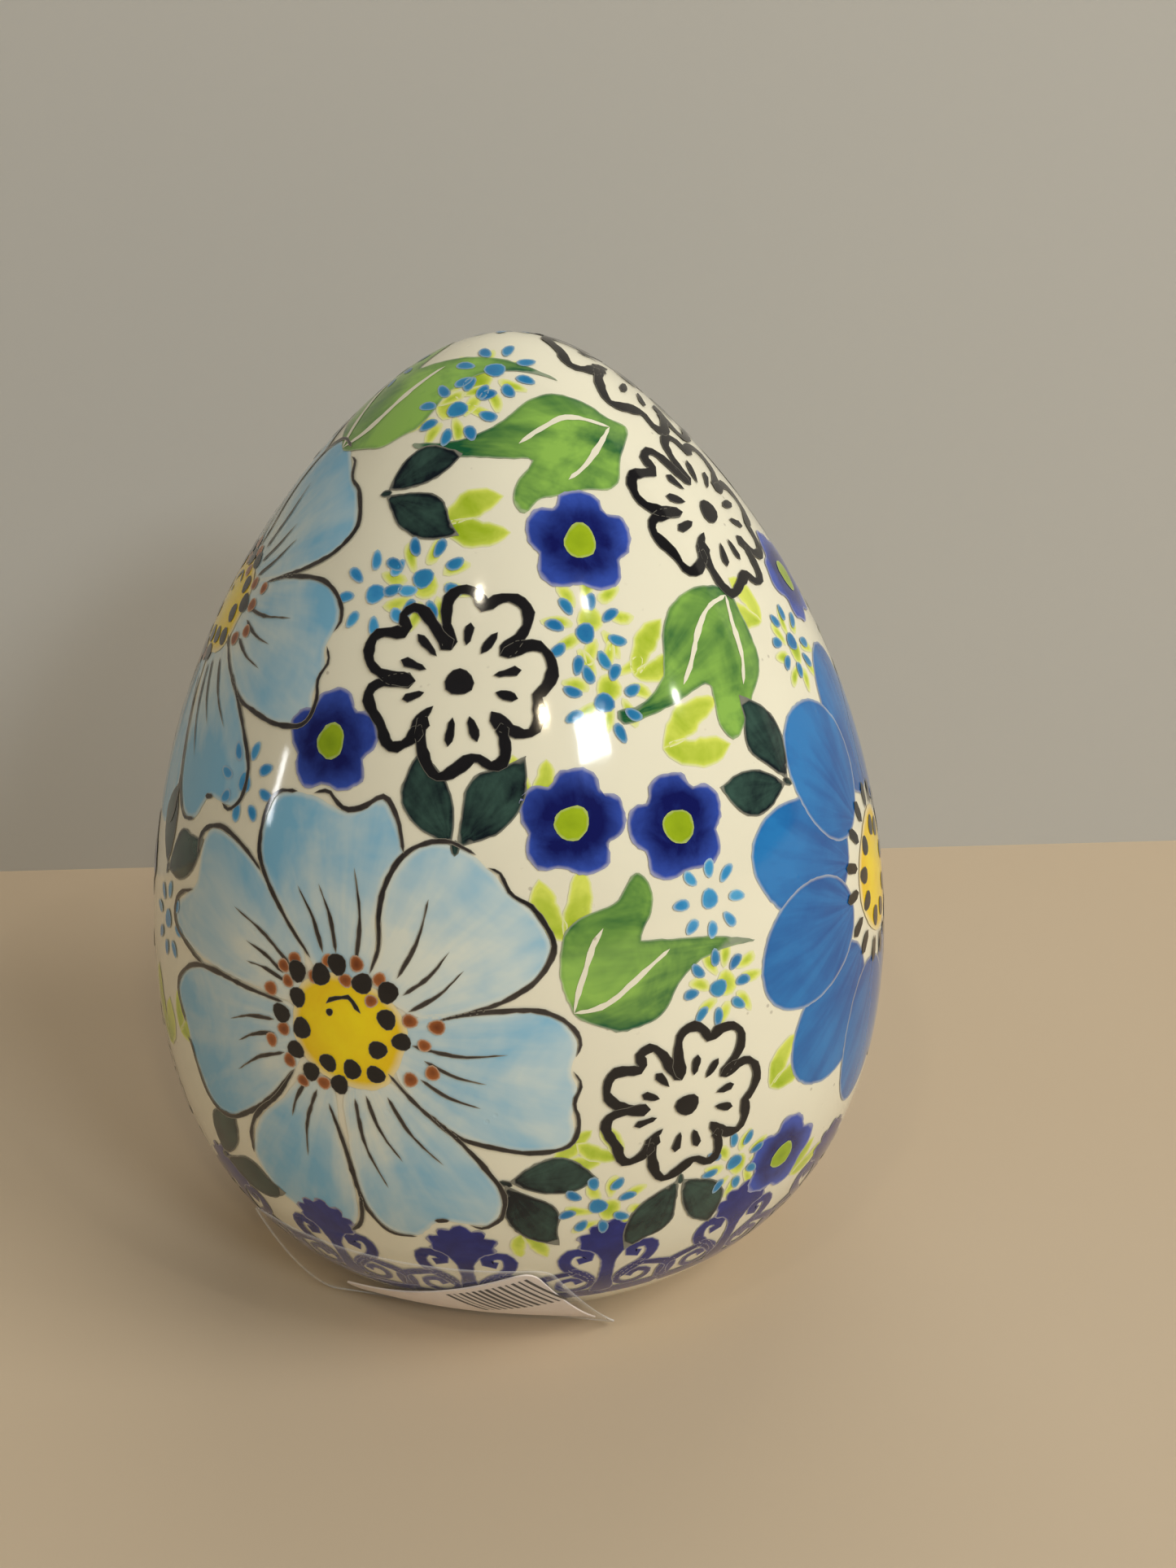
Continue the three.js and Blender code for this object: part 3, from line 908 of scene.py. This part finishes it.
def rawStoneware():
    material, tree, shader = newMaterial("rawStoneware", 0.85)
    tones = {"Clay": linear(214, 202, 178), "Shade": linear(196, 181, 154), "Amount": 0.8}
    group = placeGroup(tree, claySpecks, tones)
    tree.links.new(group.outputs["Colour"], shader.inputs["Base Color"])
    bump = addNode(tree, "ShaderNodeBump")
    bump.inputs["Strength"].default_value = 0.5
    bump.inputs["Distance"].default_value = 0.0002
    tree.links.new(noiseNode(tree, 1400.0, 4, 0.6), bump.inputs["Height"])
    tree.links.new(bump.outputs["Normal"], shader.inputs["Normal"])
    return material


glaze = creamGlaze()
stoneware = rawStoneware()

pigments = {
    "lime": {"Deep": linear(150, 178, 14), "Light": linear(216, 224, 96), "Along Amount": 0.3,
             "Patchiness": 0.7, "Pool": -0.5, "Pool Width": 1.0, "Soft Edge": 0.55, "Edge Width": 0.45},
    "wash": {"Deep": linear(126, 184, 214), "Light": linear(222, 227, 214), "Along From": 0.9,
             "Along To": 0.25, "Along Amount": 0.5, "Patch Scale": 62.0, "Patchiness": 0.8, "Streaks": 0.14,
             "Pool": 0.0, "Pool Width": 2.0, "Soft Edge": 0.5, "Edge Width": 0.8},
    "sky": {"Deep": linear(4, 72, 144), "Light": linear(36, 120, 186), "Along From": 0.1, "Along To": 0.9,
            "Along Amount": 0.45, "Patch Scale": 120.0, "Patchiness": 0.4, "Streaks": 0.24, "Pool": 0.2,
            "Pool Width": 0.9, "Soft Edge": 0.4, "Edge Width": 0.5},
    "leaf": {"Deep": linear(18, 86, 50), "Light": linear(140, 184, 80), "Along From": 0.0, "Along To": 0.8,
             "Along Amount": 0.6, "Patch Scale": 110.0, "Patchiness": 1.0, "Streaks": 0.2, "Pool": 0.25,
             "Pool Width": 0.8, "Soft Edge": 0.3, "Edge Width": 0.3},
    "darkLeaf": {"Deep": linear(4, 18, 26), "Light": linear(54, 82, 72), "Along Amount": 0.2,
                 "Patch Scale": 210.0, "Patchiness": 0.9, "Streaks": 0.15, "Pool": 0.5, "Pool Width": 0.8,
                 "Soft Edge": 0.25, "Edge Width": 0.3},
    "cobalt": {"Deep": linear(5, 14, 86), "Light": linear(50, 78, 172), "Along From": 0.45, "Along To": 0.95,
               "Along Amount": 0.75, "Patch Scale": 240.0, "Patchiness": 0.5, "Pool": -0.1, "Soft Edge": 0.35,
               "Edge Width": 0.5},
    "turquoise": {"Deep": linear(18, 112, 178), "Light": linear(86, 174, 216), "Along Amount": 0.2,
                  "Patchiness": 0.5, "Pool": 0.0, "Soft Edge": 0.4, "Edge Width": 0.3},
    "teal": {"Deep": linear(14, 96, 158), "Light": linear(58, 146, 186), "Along Amount": 0.2,
             "Patchiness": 0.5, "Pool": 0.0, "Soft Edge": 0.3, "Edge Width": 0.3},
    "yellow": {"Deep": linear(236, 190, 4), "Light": linear(252, 228, 8), "Along From": 1.0, "Along To": 0.2,
               "Along Amount": 0.5, "Patchiness": 0.5, "Pool": 0.0, "Soft Edge": 0.6, "Edge Width": 1.2},
    "limeHeart": {"Deep": linear(112, 140, 4), "Light": linear(168, 192, 30), "Along Amount": 0.3,
                  "Patchiness": 0.4, "Pool": 0.1, "Soft Edge": 0.2, "Edge Width": 0.3},
    "ink": {"Deep": linear(20, 18, 18), "Light": linear(66, 60, 56), "Along Amount": 0.2,
            "Patch Scale": 400.0, "Patchiness": 0.5, "Pool": -0.3, "Pool Width": 0.25,
            "Soft Edge": 0.35, "Edge Width": 0.12},
    "rust": {"Deep": linear(112, 52, 18), "Light": linear(172, 100, 48), "Along Amount": 0.4,
             "Patchiness": 0.5, "Pool": -0.2, "Soft Edge": 0.4, "Edge Width": 0.3},
    "black": {"Deep": linear(6, 6, 8), "Light": linear(30, 28, 30), "Along Amount": 0.1, "Patch Scale": 350.0,
              "Patchiness": 0.35, "Pool": -0.15, "Pool Width": 0.3, "Soft Edge": 0.2, "Edge Width": 0.12},
    "lace": {"Deep": linear(6, 11, 78), "Light": linear(36, 47, 134), "Along Amount": 0.2,
             "Patch Scale": 320.0, "Patchiness": 0.5, "Pool": -0.3, "Pool Width": 0.5,
             "Soft Edge": 0.4, "Edge Width": 0.25},
}


# Wraps the flat marks of one pigment onto the egg. The lace ring is wrapped straight round, without walking.
def layPaint(name, ring=False):
    bm = paints[name]["bm"]
    bm.normal_update()
    bmesh.ops.reverse_faces(bm, faces=[face for face in bm.faces if face.normal.z < 0])
    pieceName = "paint_" + name
    mesh = bpy.data.meshes.new(pieceName)
    bm.to_mesh(mesh)
    bm.free()
    count = len(mesh.vertices)
    flat = np.empty(count * 3, np.float32)
    mesh.vertices.foreach_get("co", flat)
    flat = flat.reshape(-1, 3).astype(float)
    anchors = []
    for field in ("anchorAzimuth", "anchorClimb"):
        values = np.empty(count, np.float32)
        mesh.attributes[field].data.foreach_get("value", values)
        anchors.append(values.astype(float))
        mesh.attributes.remove(mesh.attributes[field])
    if ring:
        azimuth = anchors[0] + flat[:, 0] / np.interp(anchors[1], climbTable, radiusTable)
        climb = anchors[1] + flat[:, 1]
    else:
        azimuth, climb = walkOverEgg(anchors[0], anchors[1], flat[:, 0], flat[:, 1])
    points, normals = placeOnEgg(azimuth, climb, flat[:, 2])
    mesh.vertices.foreach_set("co", (points * mm).ravel().astype(np.float32))
    mesh.polygons.foreach_set("use_smooth", [True] * len(mesh.polygons))
    mesh.normals_split_custom_set_from_vertices(normals.tolist())
    mesh.update()
    mesh.materials.append(glaze if name == "vein" else pigmentMaterial(name + "Underglaze", pigments[name]))
    piece = bpy.data.objects.new(pieceName, mesh)
    bpy.context.collection.objects.link(piece)
    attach(piece, "root")


paintLayout(frontLayout)
paintLayout(backLayout)
paintLaceBorder()
for paintName in paints:
    layPaint(paintName, ring=paintName == "lace")
print("decoration painted")


def makeShell():
    bm = bmesh.new()
    inner = []
    floorAngle = footTurn
    for angle in np.linspace(math.pi, footTurn, 400):
        height = curvePoint(angle)[1]
        upward = curveNormal(angle)[1]
        if height - upward * egg["wall"] >= egg["wall"]:
            floorAngle = angle
    for angle in np.linspace(math.pi, floorAngle, egg["stepsInside"]):
        radius, height = curvePoint(angle)
        outward, upward = curveNormal(angle)
        inner.append((radius - outward * egg["wall"], height - upward * egg["wall"]))
    inner[0] = (0, inner[0][1])
    ventRadius, ventRound = egg["ventRadius"], egg["ventRound"]
    vent = [(ventRadius + ventRound, egg["wall"]), (ventRadius, egg["wall"] - ventRound),
            (ventRadius, ventRound), (ventRadius + ventRound, 0)]
    footRadius = curvePoint(footTurn)[0]
    inset = egg["footRound"]
    roll = [(footRadius - inset * share, height) for share, height in ((1.5, 0), (0.75, 0.02), (0.3, 0.1))]
    outer = []
    for angle in np.linspace(footTurn + egg["rollTurn"], math.pi, egg["stepsUp"]):
        outer.append(tuple(curvePoint(angle)))
    outer[-1] = (0, egg["height"])
    profile = inner + vent + roll + outer
    verts = [bm.verts.new((radius * mm, 0, height * mm)) for radius, height in profile]
    edges = [bm.edges.new(pair) for pair in zip(verts, verts[1:])]
    bmesh.ops.spin(bm, geom=verts + edges, axis=(0, 0, 1), cent=(0, 0, 0), dvec=(0, 0, 0),
                   angle=2 * math.pi, steps=egg["segmentsAround"], use_merge=True, use_duplicate=False)
    bmesh.ops.remove_doubles(bm, verts=bm.verts, dist=1e-6)
    bmesh.ops.recalc_face_normals(bm, faces=bm.faces)
    for face in bm.faces:
        face.smooth = True
        middle = face.calc_center_median()
        raw = face.normal.z < -0.97 and middle.z < 0.3 * mm
        outward = Vector((middle.x, middle.y, middle.z - egg["hollowMiddle"] * mm))
        inside = face.normal.dot(outward) < 0
        face.material_index = 1 if raw or inside else 0
    for edge in bm.edges:
        if len(edge.link_faces) == 2 and edge.calc_face_angle(0) > math.radians(30):
            edge.smooth = False
    mesh = bpy.data.meshes.new("glazed_shell")
    bm.to_mesh(mesh)
    bm.free()
    mesh.materials.append(glaze)
    mesh.materials.append(stoneware)
    shell = bpy.data.objects.new("glazed_shell", mesh)
    bpy.context.collection.objects.link(shell)
    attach(shell, "root")
    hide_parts("egg_shell")


makeShell()
print("shell spun")

# The label and the film are cut from one bent sheet, from the left edge to the tip and from the top down.
sheet = {
    "clearance": 0.3,
    "paperThickness": 0.25,
    "filmThickness": 0.25,
    "leftAzimuth": -50,
    "topRightAzimuth": 3,
    "tipAzimuth": 20,
    "topHeight": 20,
    "edgeHeight": 0.4,
    "edgeStandoff": 1.2,
    "edgeAzimuth": -14,
    "width": 38,  # roughly, for how wide the painted highlight along its cut edge looks
    "drop": 28,
}


def sheetPoint(across, down, lift):
    rightAzimuth = sheet["topRightAzimuth"] + (sheet["tipAzimuth"] - sheet["topRightAzimuth"]) * down
    azimuth = np.radians(sheet["leftAzimuth"] + (rightAzimuth - sheet["leftAzimuth"]) * across)
    topAngle, edgeAngle = angleAtHeight(sheet["topHeight"]), angleAtHeight(sheet["edgeHeight"])
    angle = topAngle + (edgeAngle - topAngle) * down
    radius, height = curvePoint(angle)
    outward, upward = curveNormal(angle)
    upward = upward * (1 - down)
    length = np.hypot(outward, upward)
    outward, upward = outward / length, upward / length
    shellRadius = curvePoint(edgeAngle)[0]
    edgeRadius = (shellRadius + sheet["edgeStandoff"]) / np.cos(azimuth - math.radians(sheet["edgeAzimuth"]))
    radius = radius + outward * lift + (edgeRadius - shellRadius) * down**2
    height = height + upward * lift
    return np.stack([radius * np.sin(azimuth), -radius * np.cos(azimuth), height], -1)


# A flat outline in shares of the sheet, cut into cells, bent onto the sheet and given its thickness.
def bentSheet(name, outline, lift, thickness, material, cells=34):
    bm = bmesh.new()
    corners = [bm.verts.new((across, down, 0)) for across, down in outline]
    face = bm.faces.new(corners)
    pieces = corners + list(face.edges) + [face]
    for axis in (Vector((1, 0, 0)), Vector((0, 1, 0))):
        for cut in np.arange(0.37 / cells, 1, 1 / cells):
            sliced = bmesh.ops.bisect_plane(bm, geom=pieces, dist=1e-6, plane_co=axis * cut, plane_no=axis)
            pieces = sliced["geom"]
    flat = np.array([vert.co[:2] for vert in bm.verts])
    bent = sheetPoint(flat[:, 0], flat[:, 1], lift)
    rim, milky = (bm.verts.layers.float.new(field) for field in ("rim", "milky"))
    sheetSize = np.array([sheet["width"], sheet["drop"]])
    rimValues = edgeDistance(flat * sheetSize, np.array(outline) * sheetSize)
    lowLeft = np.clip((flat[:, 1] - 0.82) / 0.18, 0, 1) * np.clip((0.45 - flat[:, 0]) / 0.15, 0, 1)
    tip = np.clip((flat[:, 0] - 0.9) / 0.1, 0, 1) * np.clip((flat[:, 1] - 0.6) / 0.3, 0, 1)
    for vert, point, rimValue, milkyValue in zip(bm.verts, bent, rimValues, lowLeft + tip):
        vert.co = Vector(point) * mm
        vert[rim] = rimValue
        vert[milky] = milkyValue
    bm.normal_update()
    inward = [face for face in bm.faces if face.normal.y > 0]
    bmesh.ops.reverse_faces(bm, faces=inward)
    bmesh.ops.solidify(bm, geom=list(bm.faces), thickness=-thickness * mm)
    for face in bm.faces:
        face.smooth = True
    for edge in bm.edges:
        if len(edge.link_faces) == 2 and edge.calc_face_angle(0) > math.radians(40):
            edge.smooth = False
    mesh = bpy.data.meshes.new(name)
    bm.to_mesh(mesh)
    bm.free()
    mesh.materials.append(material)
    piece = bpy.data.objects.new(name, mesh)
    bpy.context.collection.objects.link(piece)
    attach(piece, "root")
    return piece


# Rounds the corners of an outline: radii are shares of the sheet, one for each corner.
def roundedOutline(corners, radii, steps=6):
    outline = []
    count = len(corners)
    for index, (corner, radius) in enumerate(zip(corners, radii)):
        here = np.array(corner, float)
        before, after = np.array(corners[index - 1], float), np.array(corners[(index + 1) % count], float)
        enter = here + (before - here) / np.hypot(*(before - here)) * radius
        leave = here + (after - here) / np.hypot(*(after - here)) * radius
        for t in np.linspace(0, 1, steps):
            outline.append(tuple((1 - t) ** 2 * enter + 2 * t * (1 - t) * here + t**2 * leave))
    return outline


def paperMaterial():
    material, tree, shader = newMaterial("labelPaper", 0.6)
    tint = mixColour(tree, noiseNode(tree, 500.0, 4, 0.6), linear(236, 222, 214), linear(247, 238, 232))
    tree.links.new(tint, shader.inputs["Base Color"])
    return material


def filmMaterial():
    material, tree, shader = newMaterial("clearFilm", 0.18)
    tint = mixColour(tree, noiseNode(tree, 60.0, 2, 0.5), linear(228, 228, 226), linear(240, 240, 240))
    tree.links.new(tint, shader.inputs["Base Color"])
    gloss = rangeNode(tree, noiseNode(tree, 90.0, 2, 0.5), 0.3, 0.7, 0.12, 0.24)
    tree.links.new(gloss, shader.inputs["Roughness"])
    # The film is made more opaque and white along its cut edge: a painted highlight along the edge.
    edgeHighlight = rangeNode(tree, markField(tree, "rim"), 0.1, 0.7, 0.26, 0.05)
    milkyPatches = mathNode(tree, "MULTIPLY", markField(tree, "milky"), 0.5)  # whiter and more opaque in the low left corner and towards the tip
    tree.links.new(mathNode(tree, "ADD", edgeHighlight, milkyPatches, clamp=True), shader.inputs["Alpha"])
    return material


def printedBarMaterial():
    material, tree, shader = newMaterial("printedBars", 0.5)
    tint = mixColour(tree, noiseNode(tree, 700.0, 2, 0.5), linear(16, 12, 12), linear(40, 34, 32))
    tree.links.new(tint, shader.inputs["Base Color"])
    return material


paperCorners = [(0.15, 0.62), (0.94, 0.03), (0.95, 0.96), (0.15, 0.96)]
paperOutline = roundedOutline(paperCorners, [0.03, 0.09, 0.06, 0.03])
filmOutline = roundedOutline([(0, 0), (1, 0), (1, 1), (0, 1)], [0.05, 0.06, 0.09, 0.05])
label = bentSheet("paper_label", paperOutline, sheet["clearance"] + 0.02, sheet["paperThickness"] - 0.03,
                  paperMaterial())
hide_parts("shelf_label")
filmLift = 2 * sheet["clearance"] + sheet["paperThickness"]
film = bentSheet("film_cover", filmOutline, filmLift + 0.02, sheet["filmThickness"] - 0.04,
                 filmMaterial())
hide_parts("clear_film")

bars = {"count": 13, "start": (0.9, 0.1), "run": (-0.29, 0.21), "length": (0.055, 0.25), "lift": 0.02,
        "thinnest": 0.22, "spread": 0.45}


# Plain stripes across the label's long edge. Their widths mean nothing.
def makeBars():
    bm = bmesh.new()
    thickness = sheet["clearance"] + sheet["paperThickness"] + bars["lift"]
    widths = bars["thinnest"] + bars["spread"] * dice.random(bars["count"])
    for bar, width in enumerate(widths):
        grid = bmesh.ops.create_grid(bm, x_segments=1, y_segments=8, size=0.5)
        share = bar / (bars["count"] - 1)
        for vert in grid["verts"]:
            position = share + vert.co.x * width / bars["count"]
            drop = vert.co.y + 0.5
            across = bars["start"][0] + bars["run"][0] * position + bars["length"][0] * drop
            down = bars["start"][1] + bars["run"][1] * position + bars["length"][1] * drop
            point = sheetPoint(np.array([across]), np.array([down]), thickness)[0]
            vert.co = Vector(point) * mm
    bm.normal_update()
    bmesh.ops.reverse_faces(bm, faces=[face for face in bm.faces if face.normal.y > 0])
    mesh = bpy.data.meshes.new("label_bars")
    bm.to_mesh(mesh)
    bm.free()
    mesh.materials.append(printedBarMaterial())
    piece = bpy.data.objects.new("label_bars", mesh)
    bpy.context.collection.objects.link(piece)
    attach(piece, "root")


makeBars()
print("label and film bent")

camera = {"back": 273, "height": 182, "yaw": 2.02, "pitch": 23.11, "roll": -0.65, "lens": 66.57,
          "sensor": 48.008}


def makeCamera():
    data = bpy.data.cameras.new("camera")
    data.lens = camera["lens"]
    data.sensor_fit = "AUTO"
    data.sensor_width = camera["sensor"]
    data.clip_start = 0.01
    data.clip_end = 20
    piece = bpy.data.objects.new("camera", data)
    yaw, pitch, roll = (math.radians(camera[name]) for name in ("yaw", "pitch", "roll"))
    forward = Vector((math.sin(yaw) * math.cos(pitch), math.cos(yaw) * math.cos(pitch), -math.sin(pitch)))
    side = Vector((math.cos(yaw), -math.sin(yaw), 0))
    up = side.cross(forward)
    right = math.cos(roll) * side + math.sin(roll) * up
    top = -math.sin(roll) * side + math.cos(roll) * up
    turn = Matrix((right, top, -forward)).transposed().to_4x4()
    piece.matrix_world = Matrix.Translation((0, -camera["back"] * mm, camera["height"] * mm)) @ turn
    bpy.context.collection.objects.link(piece)
    bpy.context.scene.camera = piece


room = {"wallBehind": 0.117, "halfWidth": 1.6, "wallHeight": 0.5, "floorFront": -2.2, "floorBack": 1.6}


def stageMaterial(name, low, high, scale, seeThroughBack=False):
    material, tree, shader = newMaterial(name, 0.75)
    tree.links.new(mixColour(tree, noiseNode(tree, scale, 3, 0.5), low, high), shader.inputs["Base Color"])
    if seeThroughBack:
        clear = addNode(tree, "ShaderNodeBsdfTransparent")
        mix = addNode(tree, "ShaderNodeMixShader")
        tree.links.new(addNode(tree, "ShaderNodeNewGeometry").outputs["Backfacing"], mix.inputs["Fac"])
        tree.links.new(shader.outputs["BSDF"], mix.inputs[1])
        tree.links.new(clear.outputs["BSDF"], mix.inputs[2])
        tree.links.new(mix.outputs["Shader"], tree.nodes["Material Output"].inputs["Surface"])
    return material


def stageSheet(name, corners, material):
    bm = bmesh.new()
    bm.faces.new([bm.verts.new(corner) for corner in corners])
    bmesh.ops.subdivide_edges(bm, edges=bm.edges, cuts=6, use_grid_fill=True)
    mesh = bpy.data.meshes.new(name)
    bm.to_mesh(mesh)
    bm.free()
    mesh.materials.append(material)
    piece = bpy.data.objects.new(name, mesh)
    bpy.context.collection.objects.link(piece)
    return piece


def makeRoom():
    wide, back, high = room["halfWidth"], room["wallBehind"], room["wallHeight"]
    near, far = room["floorFront"], room["floorBack"]
    under = -1e-5
    floorTone = stageMaterial("paleFloor", linear(196, 176, 148), linear(203, 184, 157), 6.0)
    wallTone = stageMaterial("paleWall", linear(186, 184, 177), linear(190, 188, 181), 4.0, True)
    floorCorners = [(-wide, near, under), (wide, near, under), (wide, far, under), (-wide, far, under)]
    wallCorners = [(-wide, back, -0.02), (wide, back, -0.02), (wide, back, high), (-wide, back, high)]
    stageSheet("floor", floorCorners, floorTone)
    wall = stageSheet("wall", wallCorners, wallTone)
    wall.visible_shadow = False


# Azimuth and elevation in degrees and away in metres from the egg; glossy ones show in the glaze.
lamps = {
    "window": {"azimuth": 27.7, "elevation": 27.2, "away": 1.2, "width": 0.215, "height": 0.14,
               "radiance": 34, "colour": (0.86, 0.94, 1), "glossy": True},
    "skylight": {"azimuth": 60, "elevation": 37, "away": 1.6, "width": 0.85, "height": 0.85,
                 "radiance": 5.9, "colour": (1, 0.985, 0.95), "glossy": False},
    "roomFill": {"azimuth": -30, "elevation": 40, "away": 1.8, "width": 1.4, "height": 1.2,
                 "radiance": 0.22, "colour": (1, 0.96, 0.92), "glossy": False},
    "backFill": {"azimuth": 170, "elevation": 42, "away": 1.6, "width": 1.2, "height": 1.0,
                 "radiance": 1.6, "colour": (1, 0.98, 0.96), "glossy": False},
    "lampOne": {"azimuth": -18.8, "elevation": 51, "away": 1.5, "width": 0.06, "height": 0.04,
                "radiance": 130, "colour": (1, 0.9, 0.7), "glossy": True},
    "lampTwo": {"azimuth": 10.7, "elevation": 32.2, "away": 1.5, "width": 0.07, "height": 0.06,
                "radiance": 120, "colour": (1, 0.84, 0.55), "glossy": True},
    "lampThree": {"azimuth": 38.4, "elevation": 46.6, "away": 1.5, "width": 0.03, "height": 0.05,
                  "radiance": 130, "colour": (1, 0.97, 0.88), "glossy": True},
    "lampFour": {"azimuth": 63.1, "elevation": 25, "away": 1.5, "width": 0.025, "height": 0.04,
                 "radiance": 130, "colour": (1, 0.98, 0.94), "glossy": True},
    "doorway": {"azimuth": -84, "elevation": 6.5, "away": 1.5, "width": 0.05, "height": 0.24,
                "radiance": 16, "colour": (0.96, 0.98, 1), "glossy": True},
}


def makeLamps():
    aim = Vector((0, 0, 0.085))
    for name, lamp in lamps.items():
        data = bpy.data.lights.new(name, "AREA")
        data.shape = "RECTANGLE"
        data.size = lamp["width"]
        data.size_y = lamp["height"]
        data.energy = lamp["radiance"] * math.pi * lamp["width"] * lamp["height"]
        data.color = lamp["colour"]
        piece = bpy.data.objects.new(name, data)
        turn, rise = math.radians(lamp["azimuth"]), math.radians(lamp["elevation"])
        away = Vector((math.sin(turn) * math.cos(rise), -math.cos(turn) * math.cos(rise), math.sin(rise)))
        piece.location = aim + away * lamp["away"]
        piece.rotation_mode = "QUATERNION"
        piece.rotation_quaternion = away.to_track_quat("Z", "Y")
        piece.visible_glossy = lamp["glossy"]
        bpy.context.collection.objects.link(piece)
    world = bpy.data.worlds.new("softRoom")
    bpy.context.scene.world = world
    world.use_nodes = True
    background = world.node_tree.nodes["Background"]
    background.inputs["Color"].default_value = (0.56, 0.53, 0.5, 1)
    background.inputs["Strength"].default_value = 0.26


makeCamera()
makeRoom()
makeLamps()
bpy.context.scene.view_settings.view_transform = "Standard"
print("stage set")
